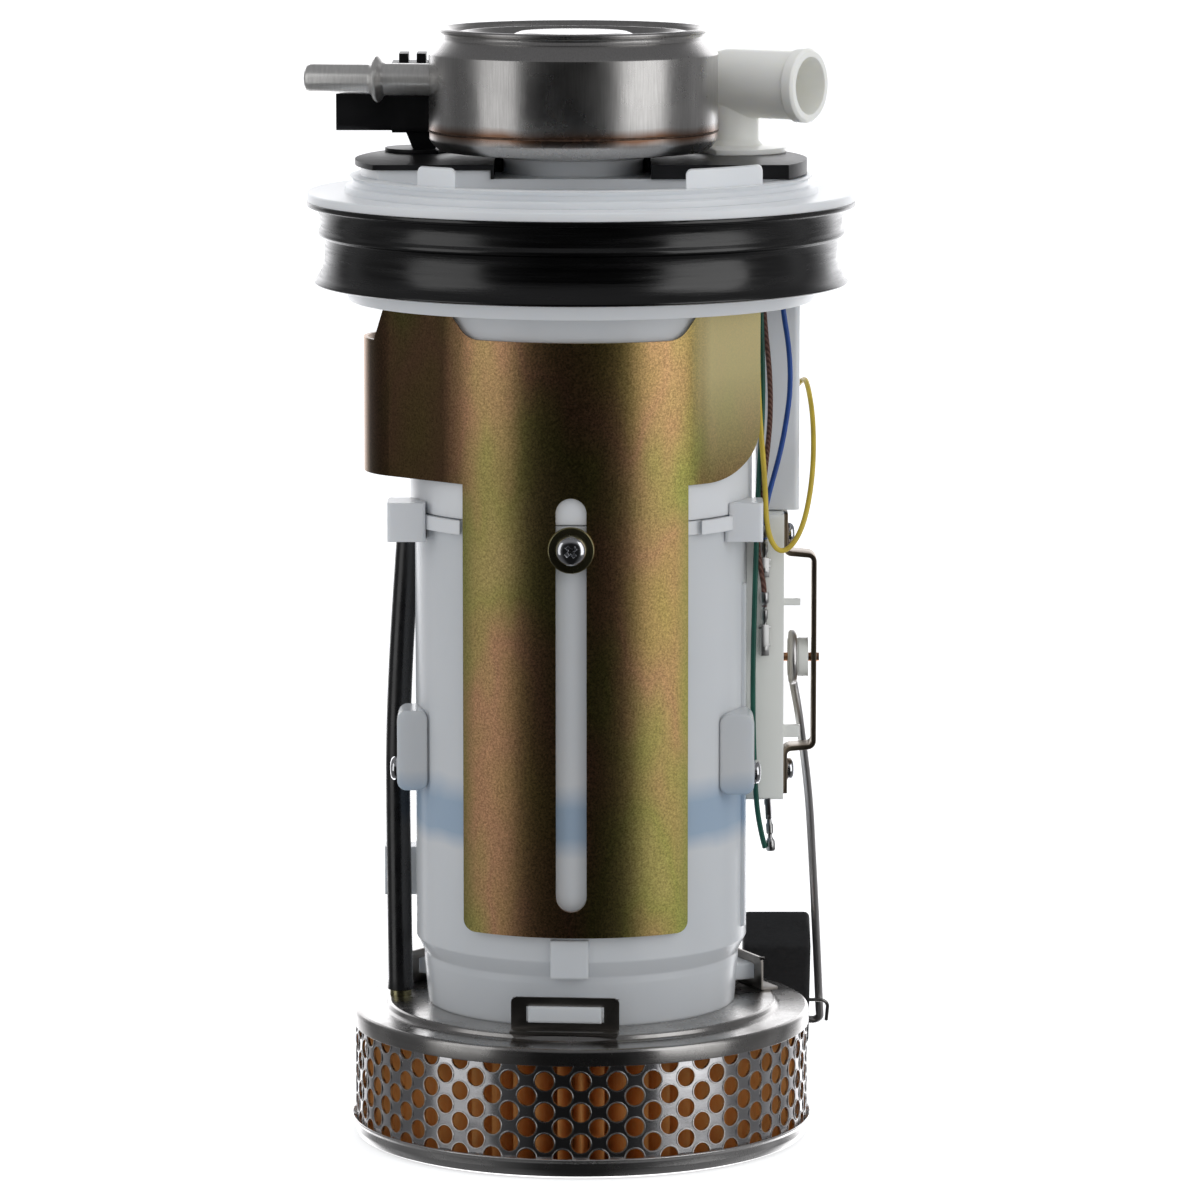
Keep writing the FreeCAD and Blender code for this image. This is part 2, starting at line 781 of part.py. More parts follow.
def terminal_plate():
    # Black cover over the rear of the deck, open at the front around the neck
    thin = disc(plate_r, plate_top - 1.4, plate_top)
    thick = disc(plate_r, platform_top, plate_top).common(
        block(can_x - neck_r - 3 + seat_gap, plate_r, plate_front, plate_r, platform_top, plate_top))
    front = block(-plate_r, plate_r, -plate_r, plate_front, platform_top - 1, plate_top + 1)
    plate = joined(thin, thick).cut(front)
    gap = neck_r + 0.5
    low, high = platform_top - 1, plate_top + 1
    mouth = block(can_x - neck_r - 2.2, can_x + neck_r + 1.8, -plate_r, 0, low, high)
    holes = joined(disc(gap, low, high, can_x), mouth)
    holes = joined(holes, disc(vent_spigot_r + seat_gap, low, high, vent_x, vent_y))
    return plate.cut(joined(holes, disc(plug_foot_r + seat_gap, low, high, plug_x, plug_y)))


def connector_housing():
    x, y = plug_x, plug_y
    base = disc(plug_base_r, plate_top, plate_top + 1, x, y)
    base = base.cut(disc(can_r + 1, plate_top - 1, plate_top + 3, can_x))
    spigot = disc(plug_foot_r, deck_bottom - 3, plate_top + 0.5, x, y)
    low = face_of([(x - 2.8, y - 4, 0), (x + 2.8, y - 4, 0), (x + 2.8, y + 4, 0), (x - 2.8, y + 4, 0)])
    low.translate(V(0, 0, plate_top))
    high_z = plug_bottom + 0.5
    high = face_of([(x - 5, y - 7, 0), (plug_right, y - 7, 0), (plug_right, y + 7, 0), (x - 5, y + 7, 0)])
    high.translate(V(0, 0, high_z))
    stem = Part.makeLoft([low.OuterWire, high.OuterWire], True)
    body = block(socket_back, plug_right, y - plug_half, y + plug_half, plug_bottom, plug_top)
    body = soften(body, 1.5, V(1, 0, 0))
    outer = block(socket_mouth, socket_back, y - plug_half, y + plug_half, socket_bottom, socket_top)
    outer = soften(outer, 1.5, V(1, 0, 0))
    low_z = socket_bottom + socket_wall
    top_z = socket_top - socket_wall
    half = plug_half - socket_wall
    cavity = block(socket_mouth - 1, socket_back, y - half, y + half, low_z, top_z)
    ribs = []
    for left in (socket_back + 1.9, socket_back + 6.6):
        ribs.append(block(left, left + 2.5, y - 5, y + 5, plug_top - 1, plug_top + 2.4))
    housing = joined(base, spigot, stem, body, outer.cut(cavity), *ribs)
    pins = [pin_blade(i) for i in range(pin_count)]
    return housing.cut(Part.makeCompound(pins))


def pin_blade(index):
    step = (2 * plug_half - 2 * socket_wall) / pin_count
    y = plug_y + (index - (pin_count - 1) / 2) * step
    z = (socket_bottom + socket_top) / 2
    return block(socket_back - 8, socket_back + 4, y - 0.7, y + 0.7, z - 0.4, z + 0.4)


def connector_pins():
    return Part.makeCompound([pin_blade(i) for i in range(pin_count)])


def can_local(shape):
    # Turns a shape made along +X of the can's axis to the nipple's own direction
    return placed(shape, 180 - nipple_turn, can_x)


def nipple_hole():
    hole = rod(nipple_tube_r + seat_gap, (can_r - 6, 0, nipple_z), (can_r + 4, 0, nipple_z))
    return can_local(hole)


def filter_can_shell():
    t = can_sheet
    r, top = can_r, can_top
    rim = r - 2.5
    ridge = r - 8.5
    outside = [(r, can_seam + seat_gap), (r, can_shoulder), (r - 0.9, top - 6.4), (r - 2.2, top - 4)]
    outside += [(r - 3.4, top - 3), (rim, top - 1.8), (rim, top), (rim - 1.4, top), (rim - 2, top - 1.8)]
    outside += [(ridge + 0.6, top - 1.8), (ridge, top - 0.4), (ridge - 1.4, top - 0.4)]
    outside += [(12, top - 2.6), (11.4, top - 3.6), (0, top - 3.6)]
    inside = [(0, top - 3.6 - t), (11.8, top - 3.6 - t), (12.6, top - 2.6 - t), (ridge - 1.6, top - 1.6)]
    inside += [(ridge + 0.4, top - 3.2), (rim - 2.2, top - 3.8), (r - 3, top - 4.6)]
    inside += [(r - t, can_shoulder), (r - t, can_seam + seat_gap)]
    return turned(outside + inside, can_x).cut(nipple_hole())


def filter_can_base():
    t = can_sheet
    lap = can_r - t - seat_gap
    low, knee = can_bottom, can_seam - 4.9
    inlet = neck_r - 7.5
    outside = [(inlet, low), (neck_r, low), (can_r - 1.7, knee), (can_r - 0.4, knee + 1.2)]
    outside += [(can_r, knee + 2.3), (can_r, can_seam), (lap, can_seam), (lap, can_seam + 2.5)]
    inside = [(lap - t, can_seam + 2.5), (lap - t, knee + 2.1), (can_r - 1.7, knee + 1.1)]
    return turned(outside + inside + [(neck_r, low + t), (inlet, low + t)], can_x)


def filter_media():
    def star(peak, depth):
        points = []
        for i in range(56):
            r = peak - depth * (i % 2)
            angle = math.pi * i / 28
            points.append((can_x + r * math.cos(angle), r * math.sin(angle), can_bottom + media_up))
        return face_of(points)

    peak = can_r - 5.1
    height = can_top - 3.6 - can_sheet - can_bottom - media_up - seat_gap
    return star(peak, 12).cut(star(peak - 3.5, 12)).extrude(V(0, 0, height))


def outlet_nipple():
    inner = can_r - can_sheet - 1.2
    tip = nipple_length
    bead = nipple_bead_at
    outline = [(inner, nipple_bore_r), (inner, nipple_tube_r), (bead - 1.6, nipple_tube_r)]
    outline += [(bead - 0.8, nipple_bead_r - 0.5), (bead, nipple_bead_r), (bead + 0.8, nipple_bead_r - 0.5)]
    outline += [(bead + 1.6, nipple_r), (tip - 1.4, nipple_r), (tip - 0.4, nipple_r - 0.4)]
    outline += [(tip, nipple_r - 1), (tip, nipple_bore_r)]
    body = face_of([(along, 0, r) for along, r in outline]).revolve(origin, V(1, 0, 0), 360)
    body.translate(V(0, 0, nipple_z))
    return can_local(body)


def vent_valve():
    base_top = plate_top + 1.4
    profile = [(5, deck_bottom), (vent_spigot_r, deck_bottom), (vent_spigot_r, plate_top)]
    profile += [(vent_base_r, plate_top), (vent_base_r, base_top), (vent_stem_r + 1, base_top + 0.6)]
    profile += [(vent_stem_r, base_top + 2), (vent_stem_r, vent_z), (5, vent_z)]
    stem = turned(profile, vent_x, vent_y)
    stem = stem.cut(disc(can_r + 0.6, plate_top, base_top + 3, can_x))
    shift = V(vent_x, vent_y, vent_z)
    reach = vent_reach
    bevel = vent_bead_r - vent_pipe_r
    bead = reach - bevel - vent_bead_width
    outside = [(0, 0), (0, vent_pipe_r), (bead - bevel, vent_pipe_r), (bead, vent_bead_r)]
    outside += [(reach - bevel, vent_bead_r), (reach, vent_pipe_r), (reach, 0)]
    pipe = face_of([(a, 0, r) for a, r in outside]).revolve(origin, V(1, 0, 0), 360)
    dome = Part.makeSphere(vent_pipe_r)
    solid = joined(pipe, dome)
    bore = rod(vent_bore_r, (0, 0, 0), (reach + 1, 0, 0))
    riser = disc(5, -30, 0)
    solid = placed(solid, vent_turn)
    solid.translate(shift)
    bore = placed(bore, vent_turn)
    bore.translate(shift)
    riser.translate(shift)
    return joined(stem, solid).cut(joined(bore, riser))


def regulator_body():
    high = deck_bottom - regulator_drop
    low = high - regulator_length
    outer, neck, bore, wall = regulator_r, regulator_neck_r, regulator_bore_r, regulator_wall
    shell = [(neck - 0.5, low), (outer, low), (outer, high), (neck, high), (neck, deck_bottom)]
    shell += [(bore, deck_bottom), (bore, high - wall), (outer - wall, high - wall), (outer - wall, low + wall)]
    return turned(shell + [(neck - 0.5, low + wall)], regulator_x, regulator_y)


def regulator_diaphragm():
    middle = deck_bottom - regulator_drop - regulator_length / 2
    r = regulator_r - regulator_wall - seat_gap
    return disc(r, middle, middle + diaphragm_t, regulator_x, regulator_y)


# Slide bracket


def bracket_line(extra):
    # The sheet's face at one depth: centre arc, flat arms and the left arm's curl
    a = math.radians(crease_angle)
    r = bracket_r + extra
    left_normal = V(-math.sin(a), -math.cos(a), 0)
    left_along = V(-math.cos(a), math.sin(a), 0)
    right_crease = V(r * math.sin(a), -r * math.cos(a), 0)
    right_end = right_crease + V(math.cos(a), math.sin(a), 0) * arm_right
    left_crease = left_normal * r
    flat_end = left_crease + left_along * arm_flat
    centre = flat_end - left_normal * (curl_r + extra)
    start = math.atan2(left_normal.y, left_normal.x)
    curl = []
    for share in (0.5, 1.0):
        angle = start - math.radians(curl_sweep) * share
        curl.append(centre + V(math.cos(angle), math.sin(angle), 0) * (curl_r + extra))
    edges = [Part.LineSegment(right_end, right_crease), Part.Arc(right_crease, V(0, -r, 0), left_crease)]
    edges += [Part.LineSegment(left_crease, flat_end), Part.Arc(flat_end, curl[0], curl[1])]
    return [e.toShape() for e in edges], right_end, curl[1]


def slide_bracket():
    inner, inner_right, inner_left = bracket_line(0)
    outer, outer_right, outer_left = bracket_line(bracket_t)
    ends = [Part.LineSegment(inner_left, outer_left).toShape()]
    ends.append(Part.LineSegment(outer_right, inner_right).toShape())
    wire = Part.Wire(Part.__sortEdges__(inner + outer + ends))
    sheet = Part.Face(wire).extrude(V(0, 0, bracket_top - bracket_bottom))
    sheet.translate(V(0, 0, bracket_bottom))
    far, near, high, below = 2 * bracket_r, -2 * bracket_r, bracket_top + 10, arm_bottom
    low_left = flat_shape([(-far, 0), (tongue_left, 0), (tongue_left, below), (-far, below)], near, far)
    low_right = flat_shape([(tongue_right, 0), (far, 0), (far, below), (tongue_right, below)], near, far)
    tilt = notch_slope
    mid = slot_x + 0.7
    notch = flat_shape([(mid - notch_half, high), (mid - notch_half, disc_bottom + 1),
                        (mid - notch_half + tilt, notch_bottom), (mid + notch_half - tilt, notch_bottom),
                        (mid + notch_half, disc_bottom + 1), (mid + notch_half, high)], near, 0)
    notch = notch.makeFillet(tilt, [e for e in notch.Edges if abs(e.BoundBox.ZMax - notch_bottom) < 0.01
                                    and e.BoundBox.YLength > bracket_r])
    curl_cut = flat_shape([(curl_neck_x + 1, high), (curl_neck_x, disc_bottom), (curl_notch_x, curl_notch_z),
                           (-far, curl_notch_z), (-far, high)], near, far)
    corner = corner_cut(14)
    sheet = sheet.cut(joined(low_left, low_right)).cut(notch).cut(curl_cut).cut(corner)
    sheet = sheet.cut(slot_shape()).cut(tongue_corners(3))
    return sheet.cut(joined(*[bracket_screw_hole(s) for s in (-1, 1)]))


def corner_cut(radius):
    # Rounds the lower outer corner of the right arm
    a = math.radians(crease_angle)
    edge = (bracket_r + bracket_t) * math.sin(a) + arm_right * math.cos(a)
    square = block(edge - radius, edge + 5, -60, 0, arm_bottom - 5, arm_bottom + radius)
    quarter = rod(radius, (edge - radius, -70, arm_bottom + radius), (edge - radius, 10, arm_bottom + radius))
    return square.cut(quarter)


def tongue_corners(radius):
    pieces = []
    for edge, side in ((tongue_left, -1), (tongue_right, 1)):
        centre = edge - side * radius
        low = bracket_bottom + radius
        square = block(min(centre, edge + side), max(centre, edge + side), -60, 0, bracket_bottom - 1, low)
        pieces.append(square.cut(rod(radius, (centre, -70, low), (centre, 10, low))))
    return joined(*pieces)


def slot_shape():
    half = slot_width / 2
    low = slot_bottom + half
    high = slot_top - half
    middle = block(slot_x - half, slot_x + half, -60, -30, low, high)
    ends = [rod(half, (slot_x, -60, z), (slot_x, -30, z)) for z in (low, high)]
    return joined(middle, *ends)


def clamp_washer():
    face = bracket_r + bracket_t + slide_gap
    plate = rod(clamp_washer_r, (slot_x, -face - clamp_washer_t, clamp_z), (slot_x, -face, clamp_z))
    hole = rod(clamp_screw_r + seat_gap, (slot_x, -60, clamp_z), (slot_x, -40, clamp_z))
    return plate.cut(hole)


def clamp_screw():
    seat = bracket_r + bracket_t + slide_gap + clamp_washer_t
    return screw(clamp_screw_r, clamp_head_r, 2.6, 14, (slot_x, -seat, clamp_z), (0, -1, 0))


def side_screws():
    screw_z = lug_top - lug_height + lug_screw_up
    left = screw(1.5, 3.2, 2, 7, (lug_left, left_screw_y, screw_z), (-1, 0, 0))
    right = screw(1.5, 3.2, 2, 5.5, (lug_right, right_screw_y, screw_z), (1, 0, 0))
    return Part.makeCompound([left, right])


# Level sender


def sender_housing():
    body = block(sender_left - 2, sender_face, sender_front, sender_back, sender_bottom, sender_top)
    body = soften(body, 1.0, V(1, 0, 0))
    body = body.cut(disc(cup_r + seat_gap, sender_bottom - 5, sender_top + 5))
    body = body.cut(disc(collar_r + 0.2, cup_top - 0.2, sender_top + 5))
    wall = sender_wall
    pocket = block(sender_face - card_depth, sender_face + 5, sender_front + wall, sender_back - wall,
                   bail_low + 3, bail_high - 3)
    tabs = [sender_tab(upper_tab_z, upper_tab_t), sender_tab(lower_tab_z, lower_tab_t)]
    body = joined(body.cut(pocket), *tabs)
    holes = [rod(pivot_r, (46, pivot_y, pivot_z), (70, pivot_y, pivot_z))]
    for z in (bail_low - bail_ear / 2, bail_high + bail_ear / 2):
        holes.append(rod(1.5, (47, pivot_y, z), (70, pivot_y, z)))
    return body.cut(joined(*holes))


def sender_tab(z, thick):
    # Short rib on the housing's face, beside the float's arm
    return block(sender_face - 1, sender_face + tab_reach, sender_front + 0.4, sender_front + sender_wall,
                 z - thick / 2, z + thick / 2)


def sender_card():
    back, edge = sender_face - card_depth, sender_wall + 0.2
    card = block(back, back + card_t, sender_front + edge, sender_back - edge, bail_low + 3.2, bail_high - 3.2)
    return card.cut(rod(pivot_r + seat_gap, (45, pivot_y, pivot_z), (70, pivot_y, pivot_z)))


def sender_bail():
    # Hat-shaped steel strap that carries the outer end of the pivot
    x0, x1, t = sender_face, bail_reach, bail_t
    top, low = bail_high, bail_low
    foot, head = low - bail_ear, top + bail_ear
    outline = [(x0, foot), (x0 + t, foot), (x0 + t, low), (x1, low), (x1, top + t), (x0 + t, top + t)]
    outline += [(x0 + t, head), (x0, head), (x0, top), (x1 - t, top), (x1 - t, low + t), (x0, low + t)]
    strap = flat_shape(outline, pivot_y - bail_half, pivot_y + bail_half)
    holes = [rod(pivot_r + seat_gap, (60, pivot_y, pivot_z), (70, pivot_y, pivot_z))]
    for z in (low - bail_ear / 2, top + bail_ear / 2):
        holes.append(rod(1.5, (50, pivot_y, z), (70, pivot_y, z)))
    return strap.cut(joined(*holes))


def bail_screws():
    seat = sender_face + bail_t
    screws = [screw(1.5, 3, 2, 7, (seat, pivot_y, z), (1, 0, 0)) for z in (bail_low - bail_ear / 2, bail_high + bail_ear / 2)]
    return Part.makeCompound(screws)


def pivot_pin():
    return rod(pivot_r, (46, pivot_y, pivot_z), (bail_reach + 0.8, pivot_y, pivot_z))


def arm_point(x, along, across=0.0):
    # A point beside the float arm: along it from the pivot, and square to it
    a = math.radians(arm_turn)
    y = pivot_y + along * math.sin(a) + across * math.cos(a)
    return (x, y, pivot_z - along * math.cos(a) + across * math.sin(a))


def float_arm_wire():
    # One wire: a turn around the hub, the long leg, and an end leg into the float
    middle = sender_face + 2.75
    bend = 2 * arm_wire_r
    turn = []
    for share in (1.0, 0.5, 0.0):
        angle = -math.radians(300) * share
        turn.append(V(*arm_point(middle, coil_r * math.sin(angle), coil_r * math.cos(angle))))
    leg, hook = arm_end_x - middle, arm_length - 2 * bend
    points = [arm_point(middle, 0, coil_r), arm_point(middle, 1.6 * coil_r, coil_r)]
    points += [arm_point(middle + 0.2 * leg, 3.2 * coil_r, 0.5 * coil_r)]
    points += [arm_point(middle + 0.53 * leg, float_at - 65, 0.4), arm_point(float_right + 1.6, float_at - 18, 0)]
    points += [arm_point(arm_end_x - 0.3, hook, 0)]
    points += [arm_point(arm_end_x, arm_length, 0), arm_point((float_left + float_right) / 2, arm_length, 0)]
    path = Part.Wire([Part.Arc(*turn).toShape()] + cord_edges(points, "float arm"))
    return swept(path, arm_wire_r)


def float_hub():
    x = sender_face + 1.4
    barrel = rod(coil_r - arm_wire_r - seat_gap, (x, pivot_y, pivot_z), (x + 2.8, pivot_y, pivot_z))
    cheek = rod(5.2, (x + 2.8, pivot_y, pivot_z), (x + 5.4, pivot_y, pivot_z))
    return joined(barrel, cheek).cut(rod(pivot_r + turn_gap, (50, pivot_y, pivot_z), (70, pivot_y, pivot_z)))


def float_body():
    half = float_t / 2
    body = block(float_left, float_right, -half, half, -float_length / 2, float_length / 2)
    body = soften(body, 2.0, V(1, 0, 0))
    body.rotate(origin, V(1, 0, 0), arm_turn)
    body.translate(V(0, *arm_point(0, float_at)[1:]))
    hole = rod(arm_wire_r + seat_gap, arm_point(53, arm_length), arm_point(70, arm_length))
    return body.cut(hole)


def float_retainer():
    # Short bent wire that keeps the arm's end leg in the float
    a = arm_length - 9
    points = [arm_point(float_right, a, -2.2), arm_point(68.4, a, -2.2), arm_point(68, a + 7, -2.4)]
    return cord(points, 0.5, "retainer")


def crimp(x, y, low, high):
    blade = block(x - 1, x + 1, sender_front - 0.8, sender_front, low, high - 4)
    barrel = ring(1.3, lead_r + 0.05, high - 4, high, x, y)
    return joined(blade, barrel)


def lead_terminals():
    upper = crimp(48.6, sender_front - 1.3, 151, 165)
    lower = crimp(48.6, sender_front - 1.3, 130, 147)
    hanging = block(49.6, 51.6, sender_front + 1, sender_front + 1.8, 77, sender_bottom)
    return Part.makeCompound([upper, lower, hanging])


def lead(points, name):
    return cord(points, lead_r, name)


def wire_blue():
    points = [(52, -5.5, deck_bottom), (52, -5.5, 229), (56, -4.6, 206), (53.6, -5.2, 187)]
    return lead(points + [(49, -7, 171), (48.6, -7.3, 166), (48.6, -7.3, 161.2)], "blue lead")


def wire_brown():
    points = [(47.4, -7.4, deck_bottom), (47.4, -7.4, 227), (50.6, -7.2, 199), (48.4, -8.6, 177)]
    return lead(points + [(46.3, -9, 162), (47.6, -8.2, 153), (48.6, -7.3, 148), (48.6, -7.3, 143.2)], "brown lead")


def wire_green():
    points = [(47.1, -9.8, deck_bottom), (47.1, -9.8, 226), (48.2, -9.6, 200), (46.8, -10.2, 176)]
    points += [(46, -10.4, 150), (45.4, -9.6, 120), (46.2, -8.4, 95), (47.4, -7, 84)]
    return lead(points + [(49, -5.6, 78)], "green lead")


def wire_yellow():
    points = [(46.3, -12.2, deck_bottom), (46.3, -12.2, 226), (46.6, -12.1, 199), (48.6, -11, 177)]
    points += [(49, -11, 163), (53, -10.6, 157), (58.5, -8.5, 163), (61.4, -5, 177)]
    points += [(61.8, 3, 191), (60.6, 14, 200), (59.6, 25, 201), (54, 27, 193), (50, 27, 178)]
    return lead(points + [(49.6, 27, 160)], "yellow lead")


parts = {
    "strainer_bottom_cap": strainer_bottom_cap,
    "strainer_top_cap": strainer_top_cap,
    "strainer_sleeve": strainer_sleeve,
    "strainer_pleats": strainer_pleats,
    "strainer_core": strainer_core,
    "strainer_clips": strainer_clips,
    "vent_nipple": vent_nipple,
    "vent_hose": vent_hose,
    "reservoir_cup": reservoir_cup,
    "reservoir_lid": reservoir_lid,
    "pump_casing": pump_casing,
    "pump_inlet_cap": pump_inlet_cap,
    "pump_outlet_cap": pump_outlet_cap,
    "pump_magnets": pump_magnets,
    "pump_isolator": pump_isolator,
    "rotor_shaft": rotor_shaft,
    "armature": armature,
    "commutator": commutator,
    "impeller": impeller,
    "check_valve_ball": check_valve_ball,
    "check_valve_spring": check_valve_spring,
    "feed_hose": feed_hose,
    "flange": flange,
    "flange_seal": flange_seal,
    "terminal_plate": terminal_plate,
    "connector_housing": connector_housing,
    "connector_pins": connector_pins,
    "filter_can_shell": filter_can_shell,
    "filter_can_base": filter_can_base,
    "filter_media": filter_media,
    "outlet_nipple": outlet_nipple,
    "vent_valve": vent_valve,
    "regulator_body": regulator_body,
    "regulator_diaphragm": regulator_diaphragm,
    "slide_bracket": slide_bracket,
    "bracket_screws": bracket_screws,
    "clamp_washer": clamp_washer,
    "clamp_screw": clamp_screw,
    "side_screws": side_screws,
    "sender_housing": sender_housing,
    "sender_card": sender_card,
    "sender_bail": sender_bail,
    "bail_screws": bail_screws,
    "pivot_pin": pivot_pin,
    "float_arm_wire": float_arm_wire,
    "float_hub": float_hub,
    "float_body": float_body,
    "float_retainer": float_retainer,
    "lead_terminals": lead_terminals,
    "wire_blue": wire_blue,
    "wire_brown": wire_brown,
    "wire_green": wire_green,
    "wire_yellow": wire_yellow,
}

os.makedirs("parts", exist_ok=True)
for name, make in parts.items():
    shape = make()
    solids = len(shape.Solids)
    print("%s: %d solids, volume %.1f, valid %s" % (name, solids, shape.Volume, shape.isValid()))
    shape.exportStep("parts/%s.step" % name)
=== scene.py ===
import json
import math

import bpy
from mathutils import Matrix, Vector


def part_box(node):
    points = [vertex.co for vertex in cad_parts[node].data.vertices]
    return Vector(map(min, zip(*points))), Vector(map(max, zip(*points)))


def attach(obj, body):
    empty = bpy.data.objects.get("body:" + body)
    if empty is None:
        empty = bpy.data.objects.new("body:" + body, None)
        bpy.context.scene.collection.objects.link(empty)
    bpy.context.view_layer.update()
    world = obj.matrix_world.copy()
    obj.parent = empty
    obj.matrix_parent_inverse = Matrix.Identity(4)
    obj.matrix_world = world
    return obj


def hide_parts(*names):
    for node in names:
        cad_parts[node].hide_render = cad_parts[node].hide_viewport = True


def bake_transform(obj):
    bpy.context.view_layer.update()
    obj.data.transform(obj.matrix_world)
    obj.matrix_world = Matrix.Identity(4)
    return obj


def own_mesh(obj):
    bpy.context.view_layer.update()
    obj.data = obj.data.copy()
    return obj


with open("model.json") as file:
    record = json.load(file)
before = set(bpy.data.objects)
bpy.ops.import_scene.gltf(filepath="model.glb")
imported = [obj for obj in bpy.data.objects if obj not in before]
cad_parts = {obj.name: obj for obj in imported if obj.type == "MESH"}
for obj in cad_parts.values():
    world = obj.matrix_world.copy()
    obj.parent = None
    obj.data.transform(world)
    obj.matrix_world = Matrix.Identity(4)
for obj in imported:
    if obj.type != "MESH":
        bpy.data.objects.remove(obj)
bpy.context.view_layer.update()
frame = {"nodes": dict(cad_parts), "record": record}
cadNodes = frame["nodes"]
print("frame loaded:", len(cadNodes), "nodes")

mm = 0.001


# camera

cameraView = {
    "place": (0.005, -1.75, 0.392),
    "pitch": 8.0706,  # degrees below level
    "lens": 199.2,
}


def makeCamera(view):
    data = bpy.data.cameras.new("photoCamera")
    data.lens = view["lens"]
    data.clip_end = 50
    camera = bpy.data.objects.new("photoCamera", data)
    camera.location = view["place"]
    camera.rotation_euler = (math.radians(90 - view["pitch"]), 0, 0)
    bpy.context.scene.collection.objects.link(camera)
    bpy.context.scene.camera = camera


makeCamera(cameraView)
print("camera set")


# node helpers


def addNode(source, kind, inputs=(), **settings):
    # source is the node tree or any socket in it
    tree = source.id_data
    made = tree.nodes.new(kind)
    for key, value in settings.items():
        setattr(made, key, value)
    for key, value in dict(inputs).items():
        if isinstance(value, bpy.types.NodeSocket):
            tree.links.new(value, made.inputs[key])
        else:
            made.inputs[key].default_value = value
    return made


def addMath(operation, first, second=0.0):
    return addNode(first, "ShaderNodeMath", {0: first, 1: second}, operation=operation).outputs[0]


def addNoise(place, scale, detail=3.0, rough=0.5, stretch=(1, 1, 1)):
    spread = addNode(place, "ShaderNodeMapping", {"Vector": place, "Scale": stretch}).outputs[0]
    values = {"Vector": spread, "Scale": scale, "Detail": detail, "Roughness": rough}
    return addNode(place, "ShaderNodeTexNoise", values).outputs[0]


def addRamp(factor, stops):
    ramp = addNode(factor, "ShaderNodeValToRGB", {0: factor})
    elements = ramp.color_ramp.elements
    while len(elements) < len(stops):
        elements.new(0.5)
    for element, (position, color) in zip(elements, sorted(stops)):
        element.position = position
    for element, (position, color) in zip(elements, sorted(stops)):
        element.color = (*color, 1.0)
    return ramp.outputs[0]


def addRange(value, low, high, toLow=0.0, toHigh=1.0):
    values = {0: value, 1: low, 2: high, 3: toLow, 4: toHigh}
    return addNode(value, "ShaderNodeMapRange", values).outputs[0]


def addMix(factor, first, second, blend="MIX"):
    source = first if isinstance(first, bpy.types.NodeSocket) else factor
    values = {0: factor, 6: first, 7: second}
    return addNode(source, "ShaderNodeMix", values, data_type="RGBA", blend_type=blend).outputs[2]


def addClouds(place, look, scale, detail=2):
    shades = [(0.3, look["shade"]), (0.7, look["color"])]
    return addRamp(addNoise(place, scale, detail), shades)


def addProduct(first, second):
    return addMath("MULTIPLY", first, second)


def addPaint(color, mask, share, paint):
    # lays a paint over a color where the mask is
    return addMix(addProduct(mask, share), color, (*paint, 1))


def addBump(height, strength, distance, normal=None):
    values = {"Height": height, "Strength": strength, "Distance": distance}
    if normal is not None:
        values["Normal"] = normal
    return addNode(height, "ShaderNodeBump", values).outputs[0]


def startFinish(name, sockets):
    finish = bpy.data.materials.new(name)
    finish.use_nodes = True
    tree = finish.node_tree
    shader = tree.nodes["Principled BSDF"]
    for key, value in sockets.items():
        shader.inputs[key].default_value = value
    return finish, addNode(tree, "ShaderNodeTexCoord").outputs["Object"]


def link(output, socket):
    tree = output.id_data
    tree.links.new(output, tree.nodes["Principled BSDF"].inputs[socket])


# studio

studio = {
    "ambient": [  # turn from the far side by the left, as a share of a whole turn, and brightness
        (0.00, 1.00), (0.06, 1.00), (0.09, 0.45), (0.125, 0.04), (0.16, 0.11), (0.19, 0.05),
        (0.27, 0.05), (0.38, 0.03), (0.44, 0.004), (0.56, 0.004), (0.6, 0.02), (0.7, 0.06),
        (0.79, 0.07), (0.815, 0.16), (0.845, 0.05), (0.885, 0.28), (0.92, 1.00), (1.00, 1.00),
    ],
    "ambientBlue": 1.02,
    "ambientGain": (2.1, 2.1, 2.1, 1),
    "floorColor": (0.93, 0.94, 0.95),
    "floorGlow": 0.55,
    "floorSize": 24,
    "floorCloud": 1.5,
    "floorDip": 0.985,
    "boxAim": (0, 0, 0.16),
    "boxes": [  # name, turn in degrees, height, distance, width, length, watts
        ("leftSoftbox", -62, 0.3, 0.95, 0.6, 1.0, 1.6),
        ("rightSoftbox", 57, 0.34, 0.95, 0.7, 1.1, 3.0),
    ],
    "topBox": {"place": (0.0, -0.1, 1.15), "aim": (0, 0, 0.2), "side": 0.8, "watts": 1.0},
    "above": (0.16, 0.16, 0.165, 1),
    "aboveFade": (0.3, 0.55),
    "fillFront": (0.5, 0.505, 0.515, 1),  # what lights the matt surfaces from the camera's side
    "fillBack": (0.8, 0.81, 0.83, 1),
    "fillFade": (-0.5, 0.5),
}


